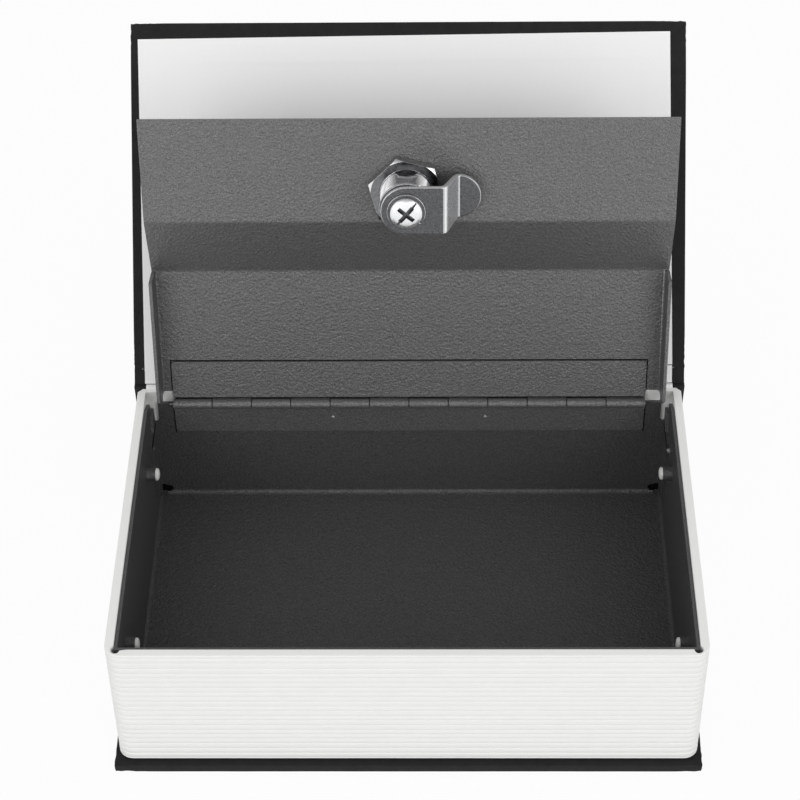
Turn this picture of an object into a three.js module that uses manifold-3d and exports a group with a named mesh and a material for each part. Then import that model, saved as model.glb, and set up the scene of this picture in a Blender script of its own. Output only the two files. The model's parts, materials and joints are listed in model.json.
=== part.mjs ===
// Book diversion safe: a steel cash tray with a hinged lid and cam lock, riveted inside a
// moulded block of "pages" and bound in a cloth-covered case. Millimetres, +Z up, +Y towards
// the spine, origin under the middle of the bottom board. Lid and cover are shown open.
import * as THREE from "three";
import { mergeVertices } from "three/addons/utils/BufferGeometryUtils.js";
import Module from "manifold-3d";

const wasm = await Module();
wasm.setup();

// Case binding
const coverWidth = 180;
const coverDepth = 118;
const clothThick = 0.4;
const boardThick = 2.2;
const paperThick = 0.2;
const turnIn = 13;
const spineThick = 1.4;
const spineSwell = 1.6;
const jointGap = 3.8;
const creaseInset = 0.7;
const coverShort = 0.7;
const coverOverRim = 0.3;
const spineOverRim = 0.5;
const paperMargin = 3.6;
const liningMargin = 14;
const paperSkew = 0.6;
const glueGap = 0.05;

// Moulded page block
const shellSetback = 2.3;
const shellSide = 1.3;
const shellHeight = 49;
const shellWall = 2.75;
const shellBackWall = 1.55;
const shellCorner = 4.5;
const shellFloor = 1.9;
const shellFlange = 9;
const shellRelief = 14;
const pageCount = 20;
const pageGroove = 0.2;
const pageEdge = 0.3;
const pageWave = 0.3;
const pageWavePitch = 5.6;
const pocketRadius = 1.5;
const pocketInset = 0.8;
const pocketDepth = 12;

// Steel tray
const sheet = 1;
const trayFit = 0.1;
const trayBend = 1.5;
const trayBelowRim = 0.6;
const backBelowRim = 4.2;
const notchWidth = 2.4;
const notchDepth = 8.8;
const notchRadius = 0.5;
const sideSlant = 7;
const sideDrop = 3.8;
const hornDrop = 2.3;
const hornLength = 3;
const hornSlant = 2;
const tabLength = 11;
const tabFoot = 4;
const tabSlant = 5.5;
const reliefRadius = 2;
const reliefHeight = 3.8;
const reliefInset = 0.5;

// Rivets that hold the tray in the page block
const rivetShank = 1.5;
const rivetHead = 2.1;
const rivetHeadThick = 0.5;
const rivetDrop = 13.9;
const rivetFront = 16.2;
const rivetBack = 87.7;
const collarRadius = 2.4;
const collarHeight = 3;
const socketDepth = 2;

// Piano hinge
const knuckleRadius = 1.6;
const pinRadius = 0.8;
const pinFit = 0.2;
const leafThick = 0.6;
const knuckleCount = 12;
const leafLength = 154;
const knuckleGap = 0.3;
const axisDrop = 2.8;
const leafCorner = 1.2;
const trayLeafReach = 13.5;
const lidLeafReach = 15;
const pinProud = 1.6;

// Lid
const lidWidth = 164;
const lidShift = 0.7;
const lidRear = 3.9;
const lidPanel = 47.7;
const lidSlope = 21.5;
const lidFront = 34.1;
const lidRecess = 9.8;
const lidBend = 3;
const lidFold = 1.8;
const flangeDepth = 9;
const flangeRear = 1;
const flangeCut = 3.5;
const flangeRise = 5.3;
const lidOpen = 104;

// Ledge that the lid rests on and the cam hooks under
const ledgeReach = 7.9;
const ledgeThick = 1.2;
const ledgeLeg = 9;
const ledgeLength = 140;
const ledgeClear = 0.3;

// Cam lock
const lockFromEdge = 23.4;
const housingRadius = 8;
const housingFlats = 14;
const housingReach = 12.2;
const faceRadius = 9.5;
const faceThick = 2.2;
const nutAcross = 21;
const nutThick = 3.4;
const nutTurn = 105;
const plugRadius = 6;
const plugFit = 0.15;
const tailAcross = 6.6;
const keySlot = 1.6;
const keyHeight = 8;
const keyDepth = 12;
const waferCount = 5;
const waferThick = 0.9;
const waferPitch = 1.9;
const waferWidth = 5.4;
const waferHeight = 10.6;
const waferWindow = 2.4;
const waferDrop = 3;
const stopRadius = 8.2;
const stopThick = 1.2;
const stopTab = 1.2;
const stopTabWidth = 4.8;
const camThick = 1.6;
const camWidth = 15.5;
const camArm = 11.5;
const camCrank = 10.8;
const camSlant = 3.8;
const camTip = 7;
const camReach = 22.7;
const washerRadius = 5.8;
const washerThick = 0.8;
const washerSlit = 0.9;
const screwHead = 4.9;
const screwHeadThick = 1.7;
const screwDome = 0.7;
const screwCrown = 3.5;
const screwCrownDrop = 0.2;
const screwShank = 1.9;
const screwLength = 6.8;
const screwSlot = 0.9;
const slotReach = 3;
const slotDepth = 1;
const slotTurn = 40;

// Cover
const coverOpen = 130.1;

// Gap kept between stacked pieces of the lock and hinge
const stackGap = 0.1;

// How far a cut runs past the face it opens, and the sides of round pieces
const past = 1;
const round = 28;
const smallRound = 16;

// Places worked out from the sizes above
const frontY = -coverDepth / 2;
const backY = coverDepth / 2;
const boardInset = clothThick + glueGap;
const caseStack = 2 * clothThick + boardThick + paperThick + 3 * glueGap;
const shellBottom = caseStack + glueGap;
const rimZ = shellBottom + shellHeight;
const shellFrontY = frontY + shellSetback;
const spineInnerY = backY - 2 * clothThick - spineThick - 2 * glueGap;
const shellBackY = spineInnerY - glueGap;
const shellHalf = coverWidth / 2 - shellSide;
const trayHalf = shellHalf - shellWall - trayFit - sheet;
const trayFrontY = shellFrontY + shellWall + trayFit + sheet;
const trayBackY = shellBackY - shellBackWall - trayFit - sheet;
const trayFloorZ = shellBottom + shellFloor + trayFit + sheet;
const axisY = trayBackY - stackGap - knuckleRadius;
const axisZ = rimZ - axisDrop;
const backTopZ = rimZ - backBelowRim;
const lidInner = knuckleRadius + stackGap;
const lidReach = lidPanel + lidSlope + lidFront;
const frontPanelZ = lidInner - lidRecess;
const lockY = -(lidReach - lockFromEdge);
const spineTopZ = rimZ + spineOverRim;
const creaseY = backY - creaseInset;
const coverInnerZ = rimZ + coverOverRim;
const creaseZ = coverInnerZ + paperThick + glueGap + clothThick;
const hingeBack = jointGap + clothThick;
const boardBack = spineInnerY - jointGap + 2 * glueGap;
const rivetRows = [shellFrontY + rivetFront, shellFrontY + rivetBack];
const rivetZ = rimZ - rivetDrop;

// Colours and finishes
const blackCloth = { color: 0x2e2e30, roughness: 0.75, metalness: 0 };
const greyBoard = { color: 0x8d8578, roughness: 0.95, metalness: 0 };
const whitePaper = { color: 0xeeeeee, roughness: 0.9, metalness: 0 };
const pageWhite = { color: 0xeaeaea, roughness: 0.5, metalness: 0 };
const hammerGrey = { color: 0x4a4a4c, roughness: 0.55, metalness: 0.2 };
const brightZinc = { color: 0xc8cacc, roughness: 0.25, metalness: 1 };
const brass = { color: 0xb9975a, roughness: 0.35, metalness: 1 };

// A closed three.js geometry as a solid that can be joined and cut.
function solid(geometry) {
  const bare = geometry.clone();
  bare.deleteAttribute("normal");
  bare.deleteAttribute("uv");
  const merged = mergeVertices(bare, 1e-4);
  return new wasm.Manifold(
    new wasm.Mesh({
      numProp: 3,
      vertProperties: new Float32Array(merged.attributes.position.array),
      triVerts: new Uint32Array(merged.index.array),
    }),
  );
}

function piece(name, shape, finish) {
  const { vertProperties, triVerts } = shape.getMesh();
  const geometry = new THREE.BufferGeometry();
  geometry.setAttribute("position", new THREE.BufferAttribute(vertProperties, 3));
  geometry.setIndex(new THREE.BufferAttribute(triVerts, 1));
  geometry.computeVertexNormals();
  const mesh = new THREE.Mesh(geometry, new THREE.MeshStandardMaterial(finish));
  mesh.name = name;
  return mesh;
}

function box(x0, x1, y0, y1, z0, z1) {
  const geometry = new THREE.BoxGeometry(x1 - x0, y1 - y0, z1 - z0);
  geometry.translate((x0 + x1) / 2, (y0 + y1) / 2, (z0 + z1) / 2);
  return solid(geometry);
}

// A flat outline pushed through a depth. The basis says where its own x, y and depth point.
function prism(outline, depth, basis, offset) {
  const shape = Array.isArray(outline)
    ? new THREE.Shape(outline.map((point) => new THREE.Vector2(...point)))
    : outline;
  const geometry = new THREE.ExtrudeGeometry(shape, { depth, bevelEnabled: false, curveSegments: 8 });
  const [u, v, w] = basis.map((axis) => new THREE.Vector3(...axis));
  geometry.applyMatrix4(new THREE.Matrix4().makeBasis(u, v, w));
  geometry.translate(...offset);
  return solid(geometry);
}

// Outline in (y, z), pushed along X.
const prismX = (outline, x0, x1) =>
  prism(outline, x1 - x0, [[0, 1, 0], [0, 0, 1], [1, 0, 0]], [x0, 0, 0]);

// Outline in (x, y), pushed along Z.
const prismZ = (outline, z0, z1) =>
  prism(outline, z1 - z0, [[1, 0, 0], [0, 1, 0], [0, 0, 1]], [0, 0, z0]);

// Outline in (x, z), pushed along Y.
const prismY = (outline, y0, y1) =>
  prism(outline, y1 - y0, [[1, 0, 0], [0, 0, 1], [0, -1, 0]], [0, y1, 0]);

function rodX(radius, x0, x1, y, z, sides = round) {
  const geometry = new THREE.CylinderGeometry(radius, radius, x1 - x0, sides);
  geometry.rotateZ(-Math.PI / 2);
  geometry.translate((x0 + x1) / 2, y, z);
  return solid(geometry);
}

function rodZ(radius, z0, z1, x = 0, y = 0, sides = round) {
  const geometry = new THREE.CylinderGeometry(radius, radius, z1 - z0, sides);
  geometry.rotateX(Math.PI / 2);
  geometry.translate(x, y, (z0 + z1) / 2);
  return solid(geometry);
}

// A path with its inner corners rounded off by arcs.
function rounded(points, radius, steps = 4) {
  const path = [points[0]];
  for (let i = 1; i < points.length - 1; i++) {
    const corner = new THREE.Vector2(...points[i]);
    const before = new THREE.Vector2(...points[i - 1]).sub(corner).normalize();
    const after = new THREE.Vector2(...points[i + 1]).sub(corner).normalize();
    const half = Math.acos(before.dot(after)) / 2;
    const reach = radius / Math.tan(half);
    const start = corner.clone().addScaledVector(before, reach);
    const end = corner.clone().addScaledVector(after, reach);
    const middle = before.clone().add(after).normalize();
    const centre = corner.clone().addScaledVector(middle, radius / Math.sin(half));
    const from = start.clone().sub(centre).angle();
    let turn = end.clone().sub(centre).angle() - from;
    turn -= Math.round(turn / (2 * Math.PI)) * 2 * Math.PI;
    for (let k = 0; k <= steps; k++) {
      const angle = from + (turn * k) / steps;
      path.push([centre.x + radius * Math.cos(angle), centre.y + radius * Math.sin(angle)]);
    }
  }
  path.push(points[points.length - 1]);
  return path;
}

// A bent sheet's section: the path and its copy set off to the left by the thickness.
function bentSheet(path, thick) {
  const offset = path.map((point, i) => {
    const here = new THREE.Vector2(...point);
    const last = new THREE.Vector2(...path[Math.max(i - 1, 0)]);
    const next = new THREE.Vector2(...path[Math.min(i + 1, path.length - 1)]);
    const into = i ? here.clone().sub(last).normalize() : next.clone().sub(here).normalize();
    const out = i < path.length - 1 ? next.clone().sub(here).normalize() : into;
    const along = into.clone().add(out).normalize();
    const reach = thick / along.dot(into);
    return [here.x - along.y * reach, here.y + along.x * reach];
  });
  return path.concat(offset.reverse());
}

// Rings of equal point count, one above the other, closed into a solid.
function loft(rings) {
  const count = rings[0].length;
  const index = [];
  for (let r = 0; r + 1 < rings.length; r++) {
    for (let i = 0; i < count; i++) {
      const a = r * count + i;
      const b = r * count + ((i + 1) % count);
      index.push(a, b, b + count, a, b + count, a + count);
    }
  }
  const cap = (rings.length - 1) * count;
  for (let i = 1; i + 1 < count; i++) {
    index.push(0, i + 1, i, cap, cap + i, cap + i + 1);
  }
  const geometry = new THREE.BufferGeometry();
  geometry.setAttribute("position", new THREE.Float32BufferAttribute(rings.flat(2), 3));
  geometry.setIndex(index);
  return solid(geometry);
}

// Wrapping cloth round a board that lies flat: a skin with its edges turned in on one side.
function wrap(y0, y1, z0, inwards, backTurnIn) {
  const half = coverWidth / 2;
  const top = z0 + 2 * clothThick + boardThick + 2 * glueGap;
  const skin = box(-half, half, y0, y1, z0, top);
  const hollow = box(clothThick - half, half - clothThick, y0 + clothThick, y1 - clothThick,
    z0 + clothThick, top - clothThick);
  const opened = inwards > 0 ? [top - 2 * clothThick, top + past] : [z0 - past, z0 + 2 * clothThick];
  const window = box(turnIn - half, half - turnIn, y0 + turnIn, y1 - backTurnIn, ...opened);
  return skin.subtract(hollow).subtract(window);
}

function boardIn(y0, y1, z0) {
  const half = coverWidth / 2 - boardInset;
  return box(-half, half, y0 + boardInset, y1 - boardInset, z0 + boardInset, z0 + boardInset + boardThick);
}

// The gentle bow of the spine, as points from foot to head.
function spineBow(y, z0, z1, steps = 12) {
  return Array.from({ length: steps + 1 }, (_, i) => {
    const t = i / steps;
    return [y + 4 * spineSwell * t * (1 - t), z0 + (z1 - z0) * t];
  });
}

function spineSlab(inner, outer, z0, z1) {
  return spineBow(outer, z0, z1).concat(spineBow(inner, z0, z1).reverse());
}

function caseCloth() {
  const half = coverWidth / 2;
  const hollowOut = backY - clothThick;
  const hollowIn = spineInnerY + clothThick;
  const spine = prismX(spineSlab(spineInnerY, backY, 0, spineTopZ), -half, half)
    .subtract(prismX(spineSlab(hollowIn, hollowOut, clothThick, spineTopZ - clothThick),
      clothThick - half, half - clothThick))
    .subtract(prismX(spineSlab(spineInnerY - spineSwell - past, hollowIn + glueGap, clothThick,
      spineTopZ - clothThick), turnIn - half, half - turnIn));
  const joint = box(-half, half, boardBack - clothThick, backY - clothThick, 0, clothThick);
  return wrap(frontY, boardBack, 0, 1, clothThick).add(joint).add(spine);
}

function bottomBoard() {
  return boardIn(frontY, boardBack, 0);
}

function bottomPaper() {
  const half = coverWidth / 2 - liningMargin;
  return box(-half, half, frontY + liningMargin, spineInnerY - liningMargin,
    caseStack - paperThick, caseStack);
}

function spineBoard() {
  const half = coverWidth / 2 - boardInset;
  return prismX(spineSlab(spineInnerY + boardInset, backY - boardInset, boardInset,
    spineTopZ - boardInset), -half, half);
}

// How far the page edges lie inside the block's outline at a height above its foot.
function pageInset(height, groove) {
  const wave = (pageWave * (1 - Math.cos((2 * Math.PI * height) / pageWavePitch))) / 2;
  return wave + (groove ? pageGroove : 0);
}

function shellRing(z, inset) {
  const half = shellHalf - inset;
  const front = shellFrontY + inset;
  const steps = 6;
  const ring = [];
  const corner = (x, y, radius, quarter) => {
    for (let k = 0; k <= steps; k++) {
      const angle = (quarter + k / steps) * (Math.PI / 2);
      ring.push([x + radius * Math.cos(angle), y + radius * Math.sin(angle), z]);
    }
  };
  const rear = shellBackWall;
  corner(half - rear, shellBackY - rear, rear, 0);
  corner(rear - half, shellBackY - rear, rear, 1);
  corner(shellCorner - half, front + shellCorner, shellCorner, 2);
  corner(half - shellCorner, front + shellCorner, shellCorner, 3);
  return ring;
}

function pageShell() {
  const pitch = shellHeight / pageCount;
  const rings = [shellRing(shellBottom, pageInset(0, false))];
  for (let i = 0; i < pageCount; i++) {
    for (const t of [pageEdge, 1 - pageEdge]) {
      const height = (i + t) * pitch;
      rings.push(shellRing(shellBottom + height, pageInset(height, false)));
    }
    const height = (i + 1) * pitch;
    if (i + 1 < pageCount) rings.push(shellRing(shellBottom + height, pageInset(height, true)));
  }
  rings.push(shellRing(rimZ, pageInset(0, false)));
  const half = shellHalf - shellWall;
  const front = shellFrontY + shellWall;
  const back = shellBackY - shellBackWall;
  let shell = loft(rings)
    .subtract(box(-half, half, front, back, shellBottom + shellFloor, rimZ + past))
    .subtract(box(shellFlange - half, half - shellFlange, front + shellFlange, back - shellFlange,
      shellBottom - past, rimZ));
  for (const x of [-half, half - shellRelief]) {
    for (const y of [front, back - shellRelief]) {
      shell = shell.subtract(box(x, x + shellRelief, y, y + shellRelief, shellBottom - past, rimZ));
    }
  }
  for (const side of [-1, 1]) {
    shell = shell.subtract(
      rodZ(pocketRadius, rimZ - pocketDepth, rimZ + past, side * (half - pocketInset), front, smallRound));
    for (const y of rivetRows) {
      const inner = side * half;
      const outer = side * (half + socketDepth);
      shell = shell.subtract(
        rodX(rivetShank + trayFit, Math.min(inner, outer), Math.max(inner, outer), y, rivetZ));
    }
  }
  return shell;
}

// Channel section, open at the top, as a bent sheet from one rim to the other.
function channel(low, high, floor, lowTop, highTop) {
  const path = rounded([[low, lowTop], [low, floor], [high, floor], [high, highTop]], trayBend);
  return bentSheet(path.reverse(), sheet);
}

function steelTray() {
  const out = trayHalf + sheet;
  const top = rimZ - trayBelowRim;
  const slant = [
    [trayBackY - sideSlant, top], [trayBackY + past, top - sideDrop * (1 + past / sideSlant)],
    [trayBackY + past, top + past], [trayBackY - sideSlant, top + past],
  ];
  const sides = prismY(channel(-trayHalf, trayHalf, trayFloorZ, top, top), trayFrontY, trayBackY)
    .subtract(prismX(slant, -out - past, out + past));
  const ends = prismX(channel(trayFrontY, trayBackY, trayFloorZ, top, backTopZ), -out, out);
  let tray = sides.add(ends);
  const notchFoot = backTopZ - notchDepth;
  for (const side of [-1, 1]) {
    const span = (a, b) => [Math.min(side * a, side * b), Math.max(side * a, side * b)];
    const notchIn = trayHalf - notchWidth;
    tray = tray
      .subtract(box(...span(notchIn, trayHalf), trayBackY - sheet, trayBackY + 2 * sheet,
        notchFoot + notchRadius, rimZ))
      .subtract(box(...span(notchIn + notchRadius, trayHalf), trayBackY - sheet, trayBackY + 2 * sheet,
        notchFoot, rimZ))
      .subtract(box(...span(trayHalf - sheet, out + past), trayBackY - sheet, trayBackY + 2 * sheet,
        notchFoot, rimZ));
    const hornTop = backTopZ - hornDrop;
    const tab = [
      [trayBackY, hornTop], [trayBackY - hornLength, hornTop],
      [trayBackY - hornLength - hornSlant, notchFoot], [trayBackY - tabLength, notchFoot],
      [trayBackY - tabLength, trayFloorZ + tabFoot + tabSlant],
      [trayBackY, trayFloorZ + tabFoot],
    ];
    tray = tray.add(prismX(tab, ...span(trayHalf - sheet, trayHalf)));
    for (const [y, inwards] of [[trayFrontY, 1], [trayBackY, -1]]) {
      const centreY = y + inwards * reliefInset;
      const centreX = side * (trayHalf - reliefInset);
      tray = tray.subtract(rodZ(reliefRadius, trayFloorZ - 2 * sheet, trayFloorZ + reliefHeight,
        centreX, centreY, smallRound));
    }
    for (const y of rivetRows) {
      tray = tray
        .add(rodX(collarRadius, ...span(trayHalf - collarHeight, trayHalf), y, rivetZ))
        .subtract(rodX(rivetShank + trayFit, ...span(trayHalf - collarHeight - past, out + past), y, rivetZ));
    }
  }
  return tray;
}

function trayRivet(side, y) {
  const span = (a, b) => [Math.min(side * a, side * b), Math.max(side * a, side * b)];
  const face = trayHalf - collarHeight - trayFit;
  const end = shellHalf - shellWall + socketDepth - trayFit;
  return rodX(rivetHead, ...span(face - rivetHeadThick, face), y, rivetZ)
    .add(rodX(rivetShank, ...span(face - rivetHeadThick / 2, end), y, rivetZ));
}

function frontLedge() {
  const top = axisZ + frontPanelZ - ledgeClear;
  const wall = trayFrontY + glueGap;
  const section = [
    [wall, top - ledgeLeg], [wall + ledgeThick, top - ledgeLeg],
    [wall + ledgeThick, top - ledgeThick], [trayFrontY + ledgeReach, top - ledgeThick],
    [trayFrontY + ledgeReach, top], [wall, top],
  ];
  return prismX(section, -ledgeLength / 2, ledgeLength / 2);
}

// One leaf of the piano hinge in its own frame: pin along X at the origin, plate reaching
// towards -Y on the top side of the knuckles. Both leaves carry every second knuckle.
function hingeLeaf(reach) {
  const pitch = leafLength / knuckleCount;
  const start = -leafLength / 2;
  const clear = knuckleRadius + knuckleGap;
  const plate = rounded([[start, 0], [start, -reach], [-start, -reach], [-start, 0]], leafCorner);
  let leaf = prismZ(plate, knuckleRadius - leafThick, knuckleRadius);
  for (let i = 0; i < knuckleCount; i++) {
    const x0 = start + i * pitch + knuckleGap / 2;
    const x1 = start + (i + 1) * pitch - knuckleGap / 2;
    if (i % 2) leaf = leaf.add(rodX(knuckleRadius, x0, x1, 0, 0, smallRound));
    else leaf = leaf.subtract(box(x0 - knuckleGap, x1 + knuckleGap, -clear, past, -clear, clear));
  }
  return leaf.subtract(rodX(pinRadius + pinFit, start - past, past - start, 0, 0, smallRound));
}

function hingePin() {
  return rodX(pinRadius, -leafLength / 2 - pinProud, leafLength / 2 + knuckleGap, axisY, axisZ,
    smallRound);
}

// Closed lid in the hinge's frame: pin at the origin, front edge towards -Y, inside facing down.
// Its rear panel is a channel whose two flanges are folded down from it.
function steelLid() {
  const half = lidWidth / 2;
  const top = lidInner + sheet;
  const foot = lidInner - flangeDepth;
  const path = rounded([
    [-lidRear, lidInner], [-lidPanel, lidInner],
    [-lidPanel - lidSlope, frontPanelZ], [-lidReach, frontPanelZ],
  ], lidBend, 3);
  const panel = prismX(bentSheet(path.reverse(), sheet), -half, half)
    .subtract(box(-half - past, lidFold - half, -lidPanel, 0, foot, top + past))
    .subtract(box(half - lidFold, half + past, -lidPanel, 0, foot, top + past));
  const fold = rounded([[-half, foot], [-half, top], [half, top], [half, foot]], lidFold);
  const side = [
    [-lidRear, top], [-lidPanel, top], [-lidPanel, foot], [-flangeRear - flangeCut, foot],
    [-flangeRear, foot + flangeRise], [-flangeRear, 0], [-lidRear, lidInner],
  ];
  const channelled = prismY(bentSheet(fold.reverse(), sheet), -lidPanel, 0)
    .intersect(prismX(side, -half - past, half + past));
  const lid = panel.add(channelled).translate([lidShift, 0, 0]);
  const hole = doubleD(housingRadius + stackGap, housingFlats + 2 * stackGap,
    frontPanelZ - past, frontPanelZ + sheet + past);
  return lid.subtract(hole.translate([0, lockY, 0]));
}

// A round bar with two flats, along Z.
function doubleD(radius, across, z0, z1) {
  return rodZ(radius, z0, z1).intersect(
    box(-radius - past, radius + past, -across / 2, across / 2, z0, z1));
}

// The lock's pieces stand on its own axis: Z is 0 at the lid's inner face and the cam lies below.
function lockHousing() {
  const top = sheet + stackGap;
  const face = new THREE.LatheGeometry([
    new THREE.Vector2(0, top), new THREE.Vector2(faceRadius, top),
    new THREE.Vector2(faceRadius, top + faceThick / 2),
    new THREE.Vector2(faceRadius - faceThick / 2, top + faceThick),
    new THREE.Vector2(0, top + faceThick),
  ], round);
  face.rotateX(Math.PI / 2);
  return solid(face)
    .add(doubleD(housingRadius, housingFlats, -housingReach, top + faceThick / 2))
    .subtract(rodZ(plugRadius + plugFit, -housingReach - past, top + faceThick + past));
}

function lockNut() {
  const corner = nutAcross / Math.sqrt(3);
  const nut = rodZ(corner, -stackGap - nutThick, -stackGap, 0, 0, 6);
  const flare = nutThick * Math.sqrt(3);
  const cone = new THREE.CylinderGeometry(nutAcross / 2 + flare, nutAcross / 2, nutThick, round);
  cone.rotateX(Math.PI / 2);
  cone.translate(0, 0, -stackGap - nutThick / 2);
  const bore = rodZ(housingRadius + stackGap, -nutThick - past, past);
  return nut.intersect(solid(cone)).subtract(bore).rotate([0, 0, nutTurn - 90]);
}

function waferPlaces() {
  const top = sheet + stackGap + faceThick;
  return Array.from({ length: waferCount }, (_, i) => top - waferDrop - (i + 0.5) * waferPitch);
}

function lockPlug() {
  const top = sheet + stackGap + faceThick;
  const foot = -housingReach - stackGap;
  const tailFoot = foot - stopThick - stackGap - camThick - stackGap;
  let plug = rodZ(plugRadius, foot, top)
    .add(box(-tailAcross / 2, tailAcross / 2, -tailAcross / 2, tailAcross / 2, tailFoot, foot + past))
    .subtract(box(-keySlot / 2, keySlot / 2, -keyHeight / 2, keyHeight / 2, top - keyDepth, top + past));
  for (const z of waferPlaces()) {
    const half = waferThick / 2 + stackGap;
    const wide = waferWidth / 2 + stackGap;
    plug = plug.subtract(box(-wide, wide, -waferHeight / 2 - stackGap, waferHeight / 2 + stackGap,
      z - half, z + half));
  }
  return plug.subtract(rodZ(screwShank + stackGap, tailFoot - past, screwSeat() + screwLength + stackGap,
    0, 0, smallRound));
}

function wafer(z) {
  const half = waferThick / 2;
  return box(-waferWidth / 2, waferWidth / 2, -waferHeight / 2, waferHeight / 2, z - half, z + half)
    .subtract(box(-waferWindow / 2, waferWindow / 2, -keyHeight / 2, keyHeight / 2, z - past, z + past));
}

function squareHole(z0, z1) {
  const half = tailAcross / 2 + stackGap;
  return box(-half, half, -half, half, z0, z1);
}

function stopWasher() {
  const top = -housingReach - 2 * stackGap;
  const foot = top - stopThick;
  return rodZ(stopRadius, foot, top)
    .add(box(0, stopRadius + stopTab, -stopTabWidth / 2, stopTabWidth / 2, foot, top))
    .subtract(squareHole(foot - past, top + past));
}

// Cranked cam: the arm steps back up to the lid and ends in a half-round tip.
function lockCam() {
  const foot = -housingReach - 3 * stackGap - stopThick - camThick;
  const half = camWidth / 2;
  const path = rounded([
    [-half, foot], [camArm, foot], [camArm + camSlant, foot + camCrank], [camReach, foot + camCrank],
  ], camThick, 3);
  const bent = prismY(bentSheet(path, camThick), -half, half);
  const plan = new THREE.Shape();
  plan.absarc(0, 0, half, Math.PI / 2, (3 * Math.PI) / 2, false);
  plan.lineTo(camArm + camThick, -half);
  plan.lineTo(camReach - camTip, -camTip);
  plan.absarc(camReach - camTip, 0, camTip, -Math.PI / 2, Math.PI / 2, false);
  plan.lineTo(camArm + camThick, half);
  plan.closePath();
  return bent
    .intersect(prismZ(plan, foot - past, foot + camCrank + camThick + past))
    .subtract(squareHole(foot - past, foot + camThick + past));
}

function camFace() {
  return -housingReach - 4 * stackGap - stopThick - camThick;
}

function screwSeat() {
  return camFace() - washerThick - stackGap;
}

function springWasher() {
  const top = camFace();
  return rodZ(washerRadius, top - washerThick, top)
    .subtract(rodZ(screwShank + 2 * stackGap, top - washerThick - past, top + past, 0, 0, smallRound))
    .subtract(box(0, washerRadius + past, -washerSlit / 2, washerSlit / 2,
      top - washerThick - past, top + past));
}

function camScrew() {
  const top = screwSeat();
  const foot = top - screwHeadThick;
  const head = new THREE.LatheGeometry([
    new THREE.Vector2(0, foot), new THREE.Vector2(screwCrown, foot + screwCrownDrop),
    new THREE.Vector2(screwHead, foot + screwDome), new THREE.Vector2(screwHead, top),
    new THREE.Vector2(0, top),
  ], round);
  head.rotateX(Math.PI / 2);
  const cut = (angle) =>
    box(-slotReach, slotReach, -screwSlot / 2, screwSlot / 2, foot - past, foot + slotDepth)
      .rotate([0, 0, angle]);
  return solid(head)
    .add(rodZ(screwShank, top - screwHeadThick / 2, top + screwLength, 0, 0, smallRound))
    .subtract(cut(slotTurn)).subtract(cut(slotTurn + 90));
}

// The bare strip of cloth between spine and cover, in the crease's frame and closed.
function jointCloth() {
  const half = coverWidth / 2;
  return box(-half, half, -jointGap, -clothThick, -clothThick / 2, clothThick / 2);
}

// Closed cover in the board crease's frame.
function coverSpan() {
  const front = frontY + coverShort - creaseY + jointGap + clothThick / 2;
  const back = -clothThick / 2;
  const low = coverInnerZ + paperThick + glueGap - creaseZ;
  return { front, back, low };
}

function coverCloth() {
  const { front, back, low } = coverSpan();
  return wrap(front, back, low, -1, clothThick + glueGap);
}

function coverBoard() {
  const { front, back, low } = coverSpan();
  return boardIn(front, back, low);
}

function coverPaper() {
  const { front, back, low } = coverSpan();
  const half = coverWidth / 2 - paperMargin;
  const top = low - glueGap;
  const middle = (front + back) / 2;
  return box(-half, half, front + paperMargin - middle, back - middle - 2 * clothThick,
    top - paperThick, top).rotate([0, 0, paperSkew]).translate([0, middle, 0]);
}

const safe = new THREE.Group();

safe.add(
  piece("case_cloth", caseCloth(), blackCloth),
  piece("bottom_board", bottomBoard(), greyBoard),
  piece("bottom_paper", bottomPaper(), whitePaper),
  piece("spine_board", spineBoard(), greyBoard),
  piece("page_shell", pageShell(), pageWhite),
  piece("steel_tray", steelTray(), hammerGrey),
  piece("hinge_pin", hingePin(), brightZinc),
  piece("front_ledge", frontLedge(), hammerGrey),
);
for (const [side, sideName] of [[-1, "left"], [1, "right"]]) {
  rivetRows.forEach((y, i) => {
    const row = ["front", "back"][i];
    safe.add(piece(`tray_rivet_${row}_${sideName}`, trayRivet(side, y), pageWhite));
  });
}

// The tray's leaf is turned to hang down the back wall, with its plate behind the knuckles.
const trayLeaf = piece("tray_leaf", hingeLeaf(trayLeafReach), hammerGrey);
trayLeaf.position.set(0, axisY, axisZ);
trayLeaf.rotation.set(Math.PI / 2, Math.PI, 0);
safe.add(trayLeaf);

const lid = new THREE.Group();
lid.position.set(0, axisY, axisZ);
lid.rotation.x = THREE.MathUtils.degToRad(-lidOpen);
lid.add(
  piece("steel_lid", steelLid(), hammerGrey),
  piece("lid_leaf", hingeLeaf(lidLeafReach), hammerGrey),
);

const lock = new THREE.Group();
lock.position.set(0, lockY, frontPanelZ);
lock.add(
  piece("lock_housing", lockHousing(), brightZinc),
  piece("lock_nut", lockNut(), brightZinc),
  piece("lock_plug", lockPlug(), brightZinc),
  piece("stop_washer", stopWasher(), brightZinc),
  piece("lock_cam", lockCam(), brightZinc),
  piece("spring_washer", springWasher(), brightZinc),
  piece("cam_screw", camScrew(), brightZinc),
);
waferPlaces().forEach((z, i) => lock.add(piece(`wafer_${i + 1}`, wafer(z), brass)));
lid.add(lock);
safe.add(lid);

const crease = new THREE.Group();
crease.position.set(0, creaseY, creaseZ);
crease.rotation.x = THREE.MathUtils.degToRad(-coverOpen);
crease.add(piece("joint_cloth", jointCloth(), blackCloth));

const cover = new THREE.Group();
cover.position.set(0, -hingeBack, 0);
cover.add(
  piece("cover_cloth", coverCloth(), blackCloth),
  piece("cover_board", coverBoard(), greyBoard),
  piece("cover_paper", coverPaper(), whitePaper),
);
crease.add(cover);
safe.add(crease);

export default safe;
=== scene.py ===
import json
import math
import bmesh
import bpy
from mathutils import Matrix, Vector, noise


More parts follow.
